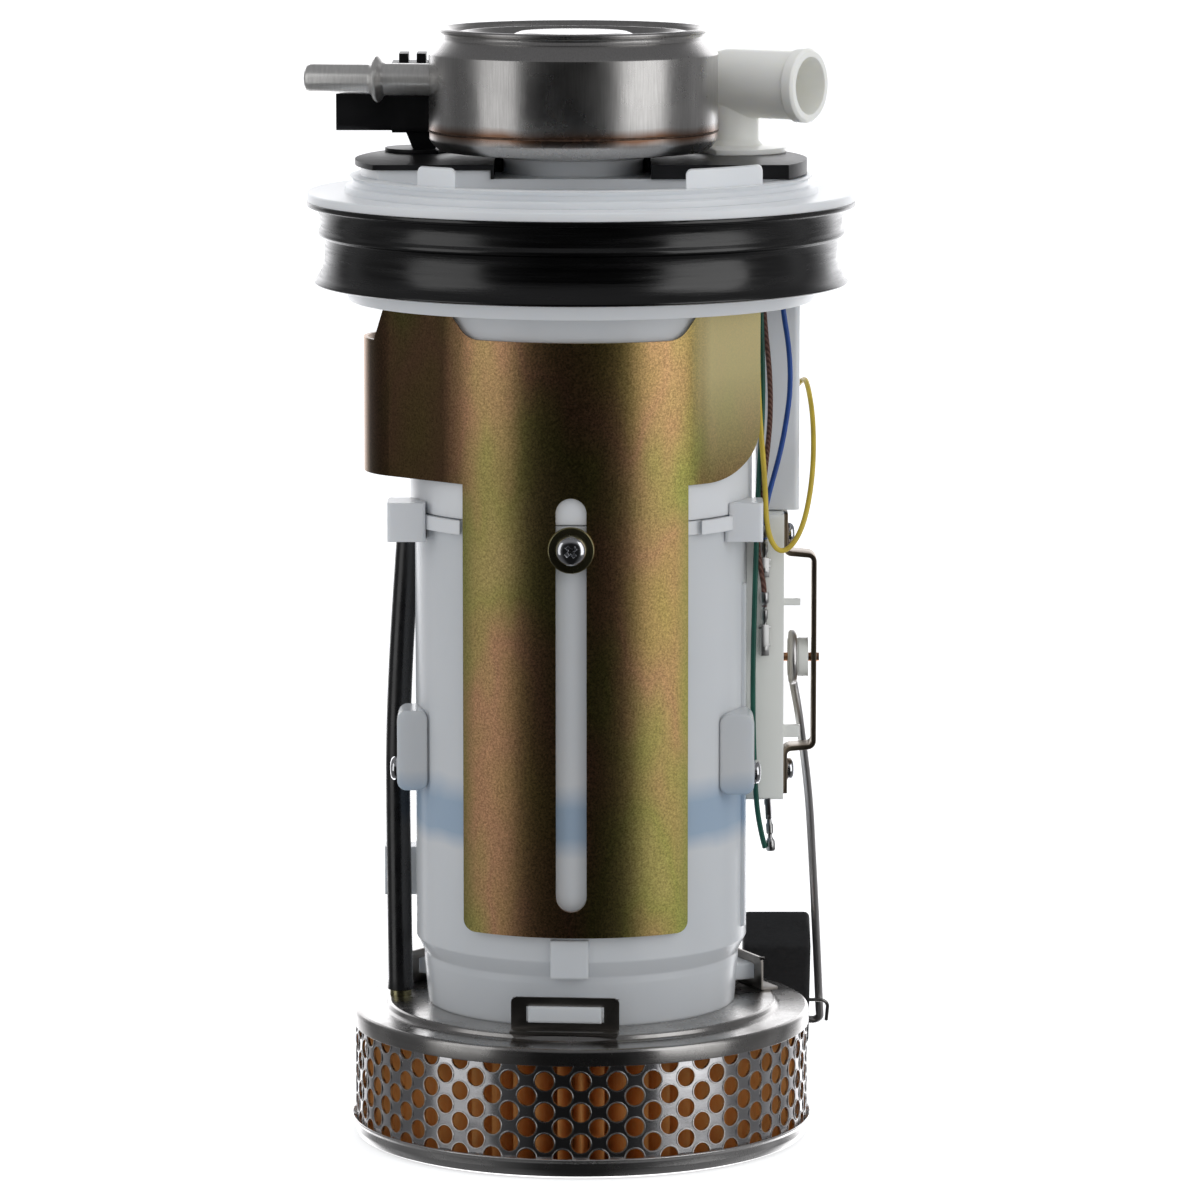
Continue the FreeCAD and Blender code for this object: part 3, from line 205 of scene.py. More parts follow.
def makeWorld(values):
    world = bpy.data.worlds.new("studioWorld")
    bpy.context.scene.world = world
    world.use_nodes = True
    tree = world.node_tree
    background = tree.nodes["Background"]
    spot = addNode(tree, "ShaderNodeTexCoord").outputs["Generated"]
    parts = addNode(tree, "ShaderNodeSeparateXYZ", {0: spot}).outputs
    toFront = addMath("MULTIPLY", parts[1], -1.0)
    turn = addMath("ARCTAN2", parts[0], toFront)
    share = addRange(turn, -math.pi, math.pi)
    shades = [(at, (value, value, value * values["ambientBlue"])) for at, value in values["ambient"]]
    around = addMix(1.0, addRamp(share, shades), values["ambientGain"], "MULTIPLY")
    above = addRange(parts[2], *values["aboveFade"])
    room = addMix(above, around, values["above"])
    rays = addNode(tree, "ShaderNodeLightPath").outputs
    fill = addMix(addRange(toFront, *values["fillFade"]), values["fillBack"], values["fillFront"])
    room = addMix(rays["Is Diffuse Ray"], room, fill)
    tree.links.new(addMix(rays["Is Camera Ray"], room, (1, 1, 1, 1)), background.inputs[0])
    background.inputs[1].default_value = 1.0


def makeBox(name, place, aim, width, length, watts):
    data = bpy.data.lights.new(name, "AREA")
    data.shape = "RECTANGLE"
    data.size = width
    data.size_y = length
    data.energy = watts
    light = bpy.data.objects.new(name, data)
    light.location = place
    direction = Vector(aim) - Vector(place)
    light.rotation_euler = direction.to_track_quat("-Z", "Y").to_euler()
    bpy.context.scene.collection.objects.link(light)
    return light


def makeStudio(values):
    makeWorld(values)
    for name, turn, height, distance, width, length, watts in values["boxes"]:
        angle = math.radians(turn)
        place = (distance * math.sin(angle), -distance * math.cos(angle), height)
        makeBox(name, place, values["boxAim"], width, length, watts)
    top = values["topBox"]
    light = makeBox("topSoftbox", top["place"], top["aim"], top["side"], top["side"], top["watts"])
    light.visible_glossy = False
    bpy.ops.mesh.primitive_plane_add(size=values["floorSize"])
    floor = bpy.context.active_object
    floor.name = "paleFloor"
    floor.visible_glossy = False  # metals mirror the studio, as over a dark table
    floor.visible_diffuse = False
    glow = {"Roughness": 0.9, "Emission Strength": values["floorGlow"], "Emission Color": (1, 1, 1, 1)}
    finish, place = startFinish("paleFloorFinish", glow)
    look = {"color": values["floorColor"], "shade": [values["floorDip"] * part for part in values["floorColor"]]}
    link(addClouds(place, look, values["floorCloud"], 3), "Base Color")
    floor.data.materials.append(finish)


makeStudio(studio)
bpy.context.scene.view_settings.view_transform = "Standard"
print("studio set")


# finishes


plasticUsual = {  # what a plastic has where its own look doesn't say
    "depth": 0.0, "spread": (1.0, 1.0, 1.0), "gloss": 0.5, "cloud": 28,
    "mist": 420, "mistLow": 0.01, "mistHigh": 0.02, "edge": 0.0005, "grain": 1500, "bump": 0.05, "relief": 0.0002,
}


def startPlastic(name, look, sockets):
    return startFinish(name, {
        "Subsurface Weight": look["depth"],
        "Subsurface Radius": look["spread"],
        "Subsurface Scale": 0.003,
        "IOR": 1.48,
        **sockets,
    })


def plasticRelief(place, look):
    # rounded edges under a fine grain
    edge = addNode(place, "ShaderNodeBevel", {"Radius": look["edge"]}, samples=4).outputs[0]
    return addBump(addNoise(place, look["grain"], 2), look["bump"], look["relief"], edge)


def plasticFinish(name, look):
    look = {**plasticUsual, **look}
    finish, place = startPlastic(name, look, {"Specular IOR Level": look["gloss"]})
    link(addClouds(place, look, look["cloud"]), "Base Color")
    mist, rough = addNoise(place, look["mist"], 3), look["roughness"]
    polish = addRange(mist, 0.3, 0.7, rough - look["mistLow"], rough + look["mistHigh"])
    link(polish, "Roughness")
    link(plasticRelief(place, look), "Normal")
    return finish


def cupFinish(name, look):
    # pale plastic with the pump's blue ring showing softly through it
    look = {**plasticUsual, **look}
    finish, place = startPlastic(name, look, {"Roughness": look["roughness"]})
    height = addNode(place, "ShaderNodeSeparateXYZ", {0: place}).outputs[2]
    drift = look["ringDrift"]
    wander = addRange(addNoise(place, look["ringCloud"], 2), 0.3, 0.7, -drift, drift)
    level = addMath("ADD", height, wander)
    low, high = look["ring"]
    below, above = look["ringFadeLow"], look["ringFadeHigh"]
    rise = addRange(level, low - below[0], low + below[1])
    fall = addRange(level, high - above[0], high + above[1], 1.0, 0.0)
    band = addProduct(rise, fall)
    wall = addClouds(place, look, look["cloud"])
    link(addPaint(wall, band, look["ringShare"], look["ringColor"]), "Base Color")
    link(plasticRelief(place, look), "Normal")
    return finish


steelUsual = {  # what a steel has where its own look doesn't say
    "metal": 1.0, "stretch": (1, 1, 1), "bump": 0.05, "relief": 0.00012, "smudge": 45, "polish": 0.05, "patch": 0.1,
    "dirt": 0.15, "dirtColor": (0.2, 0.18, 0.16), "tint": None, "turned": None,
}


def steelFinish(name, look):
    look = {**steelUsual, **look}
    turned, tint, rough = look["turned"], look["tint"], look["roughness"]
    sockets = {"Metallic": look["metal"]}
    if turned:
        sockets.update({"Anisotropic": turned[1], "Anisotropic Rotation": 0.25})
    finish, place = startFinish(name, sockets)
    if turned:
        marks = addNode(place, "ShaderNodeTangent", direction_type="RADIAL", axis=turned[0])
        link(marks.outputs[0], "Tangent")
    streak = addNoise(place, look["grain"], 4, 0.6, look["stretch"])
    smudge = addNoise(place, look["smudge"], 5, 0.65)
    pale = addRamp(streak, [(0.25, look["shade"]), (0.75, look["color"])])
    dirt = addRange(smudge, 0.45, 0.75, 0.0, look["dirt"])
    color = addMix(dirt, pale, (*look["dirtColor"], 1))
    polish = addRange(smudge, 0.3, 0.75, rough - look["polish"], rough + look["patch"])
    if tint:
        color = addMix(weldTint(place, tint), color, (*tint["color"], 1))
    link(color, "Base Color")
    link(polish, "Roughness")
    link(addBump(streak, look["bump"], look["relief"]), "Normal")
    return finish


def weldTint(place, tint):
    # heat colour that fades on both sides of a seam
    height = addNode(place, "ShaderNodeSeparateXYZ", {0: place}).outputs[2]
    drift = tint["drift"]
    wander = addRange(addNoise(place, tint["cloud"], 3), 0.3, 0.7, -drift, drift)
    away = addMath("SUBTRACT", addMath("ADD", height, wander), tint["seam"])
    away = addMath("ABSOLUTE", away)
    return addRange(away, tint["bead"], tint["reach"], tint["share"], 0.0)


rubberUsual = {"gloss": 0.5, "stretch": (1, 1, 1), "relief": 0.0003, "polish": 0.08, "patch": 0.12}


def rubberFinish(name, look):
    look = {**rubberUsual, **look}
    finish, place = startFinish(name, {"Specular IOR Level": look["gloss"]})
    streak = addNoise(place, look["grain"], 4, 0.6, look["stretch"])
    link(addRamp(streak, [(0.3, look["shade"]), (0.8, look["color"])]), "Base Color")
    rough = look["roughness"]
    polish = addRange(streak, 0.3, 0.75, rough - look["polish"], rough + look["patch"])
    link(polish, "Roughness")
    link(addBump(streak, look["bump"], look["relief"]), "Normal")
    return finish


def passivatedFinish(name, look):
    # yellow zinc passivate: soft clouds of olive, gold and rose over a fine bright grain
    finish, place = startFinish(name, {"Metallic": 1.0})
    film = addRamp(addNoise(place, look["cloud"], 3, 0.55, look["cloudStretch"]), look["film"])
    grain = addNoise(place, look["grain"], 3, 0.7)
    dots = addRange(grain, 0.35, 0.68, look["grainLow"], look["grainHigh"])
    grey = addNode(place, "ShaderNodeCombineColor", {0: dots, 1: dots, 2: dots}).outputs[0]
    color = addMix(1.0, film, grey, "MULTIPLY")
    parts = addNode(place, "ShaderNodeSeparateXYZ", {0: place}).outputs
    across, height, top = parts[0], parts[2], look["armTop"]
    left = addRange(across, look["left"], look["left"] + look["fade"], 1.0, 0.0)
    right = addRange(across, look["right"] - look["fade"], look["right"], 0.0, 1.0)
    below = addRange(height, top - look["blur"], top + look["blur"], 1.0, 0.0)
    edges = addProduct(addMath("MAXIMUM", left, right), below)
    color = addPaint(color, edges, look["edgeShare"], look["edgeColor"])
    tinted = addMix(1.0, color, (*look["rightTint"], 1), "MULTIPLY")
    color = addMix(addRange(across, *look["rightFade"]), color, tinted)
    # painted shade: the left arm, short of its rolled edge, is darkened towards a near black brown
    inner, outer, blur = look["leftArm"], look["rolledEdge"], look["armBlur"]
    armShade = addProduct(addRange(across, inner - blur[0], inner + blur[1], 1.0, 0.0),
                     addRange(across, outer, outer + look["blur"]))
    color = addPaint(color, armShade, look["armShare"], look["armColor"])
    # painted highlight: the right arm, from the top of the arms upwards, is lightened towards pale gold and made a
    # little rougher there
    pale = addProduct(addRange(across, *look["paleFade"]),
                      addRange(height, top, top + look["paleRise"]))
    color = addPaint(color, pale, look["paleShare"], look["paleColor"])
    # painted shade: darker towards the bottom, fading out upwards over the tongue
    near, far = look["tongue"]
    tongue = addRange(height, top + near, top + far, 1.0, 0.0)
    color = addPaint(color, tongue, look["tongueShare"], look["tongueColor"])
    link(color, "Base Color")
    polish = addRange(grain, 0.3, 0.7, look["roughness"], look["roughness"] + look["patch"])
    polish = addMath("ADD", polish, addProduct(pale, look["paleMatt"]))
    link(polish, "Roughness")
    fine = addBump(grain, look["bump"], look["relief"])
    lines = addNoise(place, look["lines"], 2, 0.5, look["lineStretch"])
    link(addBump(lines, look["lineBump"], look["relief"], fine), "Normal")
    return finish


def paperFinish(name, look):
    finish, place = startFinish(name, {
        "Roughness": look["roughness"],
        "Specular IOR Level": look["gloss"],
    })
    fibre = addNoise(place, look["grain"], 4, 0.65, look["stretch"])
    color = addClouds(place, look, look["cloud"])
    threads = addRange(fibre, 0.4, 0.8, 0, look["fibreShare"])
    link(addMix(threads, color, (*look["fibre"], 1)), "Base Color")
    link(addBump(fibre, look["bump"], look["relief"]), "Normal")
    return finish


leadUsual = {"cloud": 160, "grain": 1300, "bump": 0.1, "relief": 0.0003, "braid": None}


def leadFinish(name, look):
    look = {**leadUsual, **look}
    finish, place = startFinish(name, {"Roughness": look["roughness"], "IOR": 1.46})
    color = addClouds(place, look, look["cloud"], 3)
    height = addNoise(place, look["grain"], 2)
    if look["braid"]:
        weave = {"Vector": place, "Scale": look["braid"], "Distortion": 0.6, "Detail": 1.0}
        height = addNode(place, "ShaderNodeTexWave", weave, bands_direction="DIAGONAL").outputs[1]
        threads = addRange(height, 0.2, 0.8, 0.0, look["threadShare"])
        color = addMix(threads, color, (*look["thread"], 1))
    link(color, "Base Color")
    link(addBump(height, look["bump"], look["relief"]), "Normal")
    return finish


level = (3, 3, 60)  # streaks that run round an upright axis
upright = (40, 40, 2)  # streaks that run along it

finishLooks = {  # each finish by its maker and its look; lengths in metres
    "acetalWhite": (plasticFinish, dict(
        color=(0.79, 0.81, 0.83), shade=(0.75, 0.77, 0.795), roughness=0.3, depth=0.35, spread=(0.8, 0.9, 1.0),
        bump=0.03,
    )),
    "cupWhite": (cupFinish, dict(
        color=(0.66, 0.68, 0.7), shade=(0.62, 0.645, 0.67), roughness=0.24, depth=0.4, spread=(0.8, 0.9, 1.0),
        edge=0.0009, ring=(0.0845, 0.0965), ringColor=(0.28, 0.4, 0.54), ringShare=0.8, cloud=22, grain=900,
        bump=0.04, ringFadeLow=(0.003, 0.002), ringFadeHigh=(0.002, 0.005), ringDrift=0.0008, ringCloud=60,
    )),
    "ventCream": (plasticFinish, dict(
        color=(0.99, 0.99, 0.94), shade=(0.97, 0.97, 0.91), roughness=0.31, depth=0.25, spread=(1.0, 0.9, 0.7),
    )),
    "senderWhite": (plasticFinish, dict(
        color=(0.88, 0.89, 0.84), shade=(0.82, 0.83, 0.79), roughness=0.34, depth=0.25,
    )),
    "sealRubber": (rubberFinish, dict(
        color=(0.004, 0.004, 0.0042), shade=(0.001, 0.001, 0.0012), roughness=0.22, grain=12, stretch=level,
        bump=0.2, gloss=0.8,
    )),
    "hoseRubber": (rubberFinish, dict(
        color=(0.012, 0.012, 0.013), shade=(0.004, 0.004, 0.005), roughness=0.28, grain=260, stretch=(1, 1, 0.4),
        bump=0.2, gloss=0.8,
    )),
    "isolatorRubber": (rubberFinish, dict(
        color=(0.05, 0.13, 0.35), shade=(0.03, 0.09, 0.27), roughness=0.6, grain=200, bump=0.15,
    )),
    "blackNylon": (plasticFinish, dict(
        color=(0.014, 0.014, 0.015), shade=(0.007, 0.007, 0.008), roughness=0.38, gloss=0.25, cloud=120, bump=0.1,
    )),
    "brushedCan": (steelFinish, dict(
        color=(0.6, 0.59, 0.58), shade=(0.47, 0.46, 0.45), roughness=0.27, grain=60, stretch=upright, bump=0.04,
        dirt=0.1,
        tint=dict(
            seam=0.26905, bead=0.0004, reach=0.0026, share=0.9, cloud=90, drift=0.0005, color=(0.2, 0.085, 0.035),
        ),
    )),
    "turnedSteel": (steelFinish, dict(
        color=(0.97, 0.96, 0.94), shade=(0.82, 0.81, 0.79), roughness=0.36, metal=0.85, grain=300,
        stretch=(6, 1, 1), turned=("X", 0.85),
    )),
    "weldBead": (steelFinish, dict(
        color=(0.2, 0.12, 0.08), shade=(0.05, 0.035, 0.03), roughness=0.42, grain=700, stretch=(1, 1, 0.3),
        bump=0.5,
    )),
    "rimSteel": (steelFinish, dict(
        color=(0.92, 0.91, 0.9), shade=(0.78, 0.77, 0.76), roughness=0.24, grain=300,
    )),
    # painted shade: the lid and the base are one steel, and the lid's copy is kept darker, 0.52 against 0.88
    "capSteel": (steelFinish, dict(
        color=(0.52, 0.51, 0.5), shade=(0.4, 0.39, 0.38), roughness=0.24, grain=14, stretch=level, smudge=75,
        dirt=0.3, patch=0.12, bump=0.06, turned=("Z", 0.7),
    )),
    "baseSteel": (steelFinish, dict(
        color=(0.88, 0.87, 0.86), shade=(0.72, 0.71, 0.7), roughness=0.24, grain=14, stretch=level, smudge=75,
        patch=0.1, bump=0.06,
    )),
    "sleeveSteel": (steelFinish, dict(
        color=(0.72, 0.72, 0.74), shade=(0.62, 0.62, 0.64), roughness=0.13, grain=90, stretch=(1, 1, 3), smudge=55,
        dirt=0.22, patch=0.12,
    )),
    # the passivate's look paints shade on the left arm and the tongue, and a highlight on the right arm
    "passivate": (passivatedFinish, dict(
        film=[
            (0.18, (0.3, 0.26, 0.085)), (0.36, (0.5, 0.36, 0.13)), (0.5, (0.56, 0.31, 0.17)),
            (0.62, (0.42, 0.36, 0.12)), (0.8, (0.6, 0.4, 0.2)),
        ],
        cloud=26, cloudStretch=(1, 1, 0.45), roughness=0.285, patch=0.06, grain=1900, grainLow=0.6, grainHigh=1.36,
        bump=0.12, relief=0.0002, lines=300, lineStretch=(8, 8, 0.08), lineBump=0.05, left=-0.0315, right=0.0285,
        armTop=0.1775, fade=0.004, blur=0.002, edgeShare=0.5, edgeColor=(0.36, 0.42, 0.13),
        rightTint=(1.0, 1.13, 0.92), rightFade=(0.004, 0.03), leftArm=-0.0345, rolledEdge=-0.0575,
        armBlur=(0.0015, 0.0035), armShare=0.75, armColor=(0.02, 0.014, 0.008), tongue=(0.004, 0.045),
        tongueShare=0.24, tongueColor=(0.03, 0.02, 0.01), paleFade=(0.0285, 0.034), paleRise=0.03, paleMatt=0.22,
        paleShare=0.8, paleColor=(1.0, 0.9, 0.5),
    )),
    "screwZinc": (steelFinish, dict(
        color=(0.84, 0.85, 0.88), shade=(0.74, 0.75, 0.78), roughness=0.13, grain=400, dirt=0.1,
    )),
    "oliveZinc": (steelFinish, dict(
        color=(0.42, 0.38, 0.22), shade=(0.3, 0.28, 0.15), roughness=0.26, grain=300, bump=0.08,
        dirtColor=(0.2, 0.22, 0.09), dirt=0.3,
    )),
    "bailBronze": (steelFinish, dict(
        color=(0.38, 0.31, 0.24), shade=(0.27, 0.22, 0.17), roughness=0.34, grain=120, stretch=(1, 1, 0.3),
        bump=0.08, dirt=0.3, dirtColor=(0.32, 0.22, 0.1),
    )),
    "wireSteel": (steelFinish, dict(
        color=(0.92, 0.91, 0.9), shade=(0.8, 0.79, 0.78), roughness=0.36, grain=200, stretch=(1, 1, 0.3),
    )),
    "springSteel": (steelFinish, dict(
        color=(0.4, 0.39, 0.38), shade=(0.3, 0.29, 0.28), roughness=0.3, grain=200,
    )),
    "clipSteel": (steelFinish, dict(
        color=(0.3, 0.28, 0.26), shade=(0.22, 0.205, 0.19), roughness=0.33, grain=90, stretch=(1, 1, 4), dirt=0.25,
    )),
    "copper": (steelFinish, dict(
        color=(0.8, 0.42, 0.24), shade=(0.62, 0.3, 0.16), roughness=0.3, grain=300,
    )),
    "contactTin": (steelFinish, dict(
        color=(0.66, 0.66, 0.66), shade=(0.5, 0.5, 0.5), roughness=0.28, grain=500, stretch=(1, 1, 0.4),
        bump=0.1, dirt=0.2,
    )),
    "darkIron": (steelFinish, dict(
        color=(0.24, 0.24, 0.25), shade=(0.16, 0.16, 0.17), roughness=0.42, grain=60, stretch=level, bump=0.08,
    )),
    "pumpSteel": (steelFinish, dict(
        color=(0.58, 0.58, 0.57), shade=(0.46, 0.46, 0.45), roughness=0.3, grain=40, stretch=level,
    )),
    "pumpPlastic": (plasticFinish, dict(
        color=(0.2, 0.2, 0.2), shade=(0.15, 0.15, 0.15), roughness=0.45, bump=0.1,
    )),
    "filterPaper": (paperFinish, dict(
        color=(0.92, 0.51, 0.18), shade=(0.78, 0.38, 0.115), fibre=(0.95, 0.64, 0.3), fibreShare=0.45,
        roughness=0.85, gloss=0.2, cloud=70, grain=900, stretch=(1, 1, 0.35), bump=0.25, relief=0.0003,
    )),
    "cardCeramic": (plasticFinish, dict(
        color=(0.62, 0.6, 0.54), shade=(0.52, 0.5, 0.44), roughness=0.5,
    )),
    "floatFoam": (rubberFinish, dict(
        color=(0.026, 0.026, 0.027), shade=(0.014, 0.014, 0.015), roughness=0.66, grain=900, bump=0.5, gloss=0.35,
    )),
    "leadBlue": (leadFinish, dict(
        color=(0.02, 0.085, 0.36), shade=(0.014, 0.06, 0.27), roughness=0.34,
    )),
    "leadBrown": (leadFinish, dict(
        color=(0.105, 0.04, 0.028), shade=(0.07, 0.027, 0.02), roughness=0.55, bump=0.8, braid=420,
        thread=(0.24, 0.115, 0.085), threadShare=0.55,
    )),
    "leadGreen": (leadFinish, dict(
        color=(0.008, 0.105, 0.072), shade=(0.006, 0.07, 0.05), roughness=0.38,
    )),
    "leadYellow": (leadFinish, dict(
        color=(0.66, 0.5, 0.055), shade=(0.52, 0.38, 0.04), roughness=0.36,
    )),
}
finishes = {name: make(name, look) for name, (make, look) in finishLooks.items()}
print("finishes made:", len(finishes))

slotFinish = {  # the material slots whose finish has a name of its own
    "stainless": "brushedCan", "yellow_zinc": "passivate", "zinc_screw": "screwZinc", "magnet": "darkIron",
    "rotor_iron": "darkIron",
}
slotOf = {part["node"]: part["material_slot"] for part in frame["record"]["subparts"]}


def finishOf(slot):
    # the finish of a slot such as seal_rubber is sealRubber
    first, *rest = slot.split("_")
    return finishes[slotFinish.get(slot, first + "".join(word.title() for word in rest))]


def dressNodes():
    for name, slot in slotOf.items():
        node, finish = cadNodes[name], finishOf(slot)
        if not node.material_slots:
            node.data.materials.append(finish)
        for place in node.material_slots:
            place.material = finish


dressNodes()
print("nodes dressed")


# modelling helpers


def metres(spot):
    return [value * mm for value in spot]


def clearSelection():
    if bpy.context.mode != "OBJECT":
        bpy.ops.object.mode_set(mode="OBJECT")
    bpy.ops.object.select_all(action="DESELECT")


def pickOnly(piece):
    clearSelection()
    piece.select_set(True)
    bpy.context.view_layer.objects.active = piece


def editPiece(piece, kind="VERT", select="SELECT"):
    pickOnly(piece)
    bpy.ops.object.mode_set(mode="EDIT")
    bpy.ops.mesh.select_mode(type=kind)
    bpy.ops.mesh.select_all(action=select)


def leaveEdit():
    bpy.ops.object.mode_set(mode="OBJECT")


def selectWhere(piece, test, kind="VERT"):
    # picks vertices or edges of a piece in edit mode by the place of their middle
    editPiece(piece, kind, "DESELECT")
    leaveEdit()
    mesh = piece.data
    if kind == "VERT":
        for vertex in mesh.vertices:
            vertex.select = test(vertex.co)
    elif kind == "EDGE":
        for edge in mesh.edges:
            ends = [mesh.vertices[i].co for i in edge.vertices]
            edge.select = test((ends[0] + ends[1]) / 2)
    bpy.ops.object.mode_set(mode="EDIT")


def applyPlace(piece):
    pickOnly(piece)
    bpy.ops.object.transform_apply(location=True, rotation=True, scale=True)


def addModifier(piece, kind, **settings):
    modifier = piece.modifiers.new(kind.title(), kind)
    for key, value in settings.items():
        setattr(modifier, key, value)
    pickOnly(piece)
    bpy.ops.object.modifier_apply(modifier=modifier.name)


def extrudeBy(*move):
    bpy.ops.mesh.extrude_region_move(TRANSFORM_OT_translate={"value": metres(move)})


def bevelEdges(piece, width, segments=3, angle=25):
    # width in mm
    addModifier(piece, "BEVEL", width=width * mm, segments=segments, limit_method="ANGLE",
                angle_limit=math.radians(angle), use_clamp_overlap=True)


def addSheet(piece, thickness, offset=-1):
    addModifier(piece, "SOLIDIFY", thickness=thickness * mm, offset=offset)


def tidyMesh(piece, merge=0.000002):
    editPiece(piece)
    bpy.ops.mesh.remove_doubles(threshold=merge)
    bpy.ops.mesh.normals_make_consistent(inside=False)
    leaveEdit()


def smoothPiece(piece, angle=35):
    pickOnly(piece)
    bpy.ops.object.shade_smooth_by_angle(angle=math.radians(angle))


def joinPieces(pieces):
    clearSelection()
    for piece in pieces:
        piece.select_set(True)
    bpy.context.view_layer.objects.active = pieces[0]
    if len(pieces) > 1:
        bpy.ops.object.join()
    return bpy.context.view_layer.objects.active


def copyPiece(piece):
    twin = bpy.data.objects.new(piece.name, piece.data.copy())
    bpy.context.scene.collection.objects.link(twin)
    return twin


def movePiece(piece, place, outward=(0, 0, 1), roll=0.0):
    # a piece made at the origin along +Z goes to its place, pointing outward
    turn = Vector((0, 0, 1)).rotation_difference(Vector(outward))
    piece.matrix_world = (Matrix.Translation(Vector(place)) @ turn.to_matrix().to_4x4()
                          @ Matrix.Rotation(math.radians(roll), 4, "Z"))
    applyPlace(piece)
    return piece


def dressPiece(piece, name, node, finish=None, replaces=True):
    # a piece takes the finish of the slot of the node that it replaces or lies on, unless a finish is given
    slot = slotOf[node]
    piece.name = name
    piece.data.materials.clear()
    piece.data.materials.append(finishes[finish] if finish else finishOf(slot))
    if replaces:
        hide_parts(node)


def handOver(piece, name, body, *rest):
    dressPiece(piece, name, *rest)
    piece.data.name = name
    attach(piece, body)
    return piece


def handStretched(piece, name, node, x, low, high):
    # a piece that spans the slide is dressed and has its placement baked into its mesh
    dressPiece(piece, name, node)
    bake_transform(piece)


def take(part, names):
    return [part[name] for name in names.split()]


def turnedPiece(rings, segments, x=0.0, closed=True):
    # a ring is extruded from one radius and height to the next, as on a lathe; sizes in mm
    radius, height = rings[0]
    start = max(radius, 0.001)
    clearSelection()
    bpy.ops.mesh.primitive_circle_add(vertices=segments, radius=start * mm, location=metres((x, 0, height)))
    piece = bpy.context.active_object
    applyPlace(piece)
    editPiece(piece)
    for nextRadius, nextHeight in rings[1:]:
        target = max(nextRadius, 0.001)
        extrudeBy(0, 0, nextHeight - height)
        share = target / start
        bpy.ops.transform.resize(value=(share, share, 1), center_override=metres((x, 0, nextHeight)))
        start, height = target, nextHeight
    if closed:
        bpy.ops.mesh.select_all(action="DESELECT")
        bpy.ops.mesh.select_non_manifold()
        bpy.ops.mesh.bridge_edge_loops()
    leaveEdit()
    tidyMesh(piece, 0.000004)
    return piece


def sheetPiece(rings, x, sheet, bevel, segments, angle):
    # a pressed sheet, turned as a skin that gets its thickness inwards
    piece = turnedPiece(rings, 160, x, False)
    addSheet(piece, sheet)
    bevelEdges(piece, bevel, segments, angle)
    smoothPiece(piece, 40)
    return piece


def uprightPlate(x, y, z, height, width):
    # a flat plate that faces +X, with its middle at a place in mm
    clearSelection()
    bpy.ops.mesh.primitive_plane_add(size=1, rotation=(0, math.pi / 2, 0))
    piece = bpy.context.active_object
    piece.scale = (height * mm, width * mm, 1)
    piece.location = metres((x, y, z))
    applyPlace(piece)
    return piece


def boxPiece(low, high, bevel=0.0, segments=2):
    # a block between two corners in mm, with its edges rounded
    clearSelection()
    middle = [(a + b) / 2 * mm for a, b in zip(low, high)]
    bpy.ops.mesh.primitive_cube_add(size=1, location=middle)
    piece = bpy.context.active_object
    piece.scale = [(b - a) * mm for a, b in zip(low, high)]
    applyPlace(piece)
    if bevel:
        bevelEdges(piece, bevel, segments)
    return piece


# filter can

filterCan = {
    "x": -2.0,
    "radius": 38.1,
    "sheet": 0.7,
    "bottom": 262.0,
    "seam": 269.0,
    "seamGap": 0.05,
    "shoulder": 289.1,
    "top": 296.0,
    "rim": [  # in from the wall and down from the top
        (0.2, 6.5), (1.0, 5.6), (2.4, 3.7), (3.2, 2.9), (3.6, 2.1), (3.4, 1.4), (2.6, 0.9), (2.5, 0.4), (2.9, 0),
        (3.6, 0), (4.4, 0.8), (4.9, 1.9), (7.0, 1.9), (7.8, 1.2), (8.8, 1.2), (10.8, 3.2),
    ],
    "crown": [(18.0, 3.3), (15.4, 1.6), (14.0, 1.1), (0, 0.8)],  # radius and depth from the top
    "floor": [(11, 0), (18.5, 0), (28, 1.1), (35.4, 1.9)],  # radius and rise from the bottom
    "turnUp": [(1.3, 3.1), (0.2, 4.6)],  # in from the wall and up from the bottom
    "weld": [(-0.3, -1), (0.1, -0.7), (0.18, 0), (0.1, 0.7), (-0.3, 1)],  # out of the wall, share of its width
    "weldWidth": 0.75,
}


def makeFilterCan(can):
    r, t, top, low, seam, gap = take(can, "radius sheet top bottom seam seamGap")
    outside = [(r, seam + gap), (r, can["shoulder"])] + [(r - inward, top - down) for inward, down in can["rim"]]
    outside += [(radius, top - down) for radius, down in can["crown"]]
    shell = sheetPiece(outside, can["x"], t, 0.45, 3, 18)
    handOver(shell, "canShell", "flange_unit", "filter_can_shell")
    under = [(radius, low + rise) for radius, rise in can["floor"]]
    under += [(r - inward, low + rise) for inward, rise in can["turnUp"]] + [(r, seam - gap)]
    base = sheetPiece(under, can["x"], t, 0.3, 3, 14)
    handOver(base, "canBase", "flange_unit", "filter_can_base")
    width = can["weldWidth"] / 2
    bead = turnedPiece([(r + out, seam + width * share) for out, share in can["weld"]], 240, can["x"])
    smoothPiece(bead, 60)
    handOver(bead, "canWeld", "flange_unit", "filter_can_shell", "weldBead", False)
    print("filter can done")


# outlet nipple

nipple = {
    "turn": 170.0,  # degrees from +X
    "z": 281.8,
    "root": 36.4,
    "bore": 2.9,
    "tube": 4.25,
    "tip": 3.97,
    "bead": 6.2,
    "beadAt": 52.6,
    "length": 72.0,
}


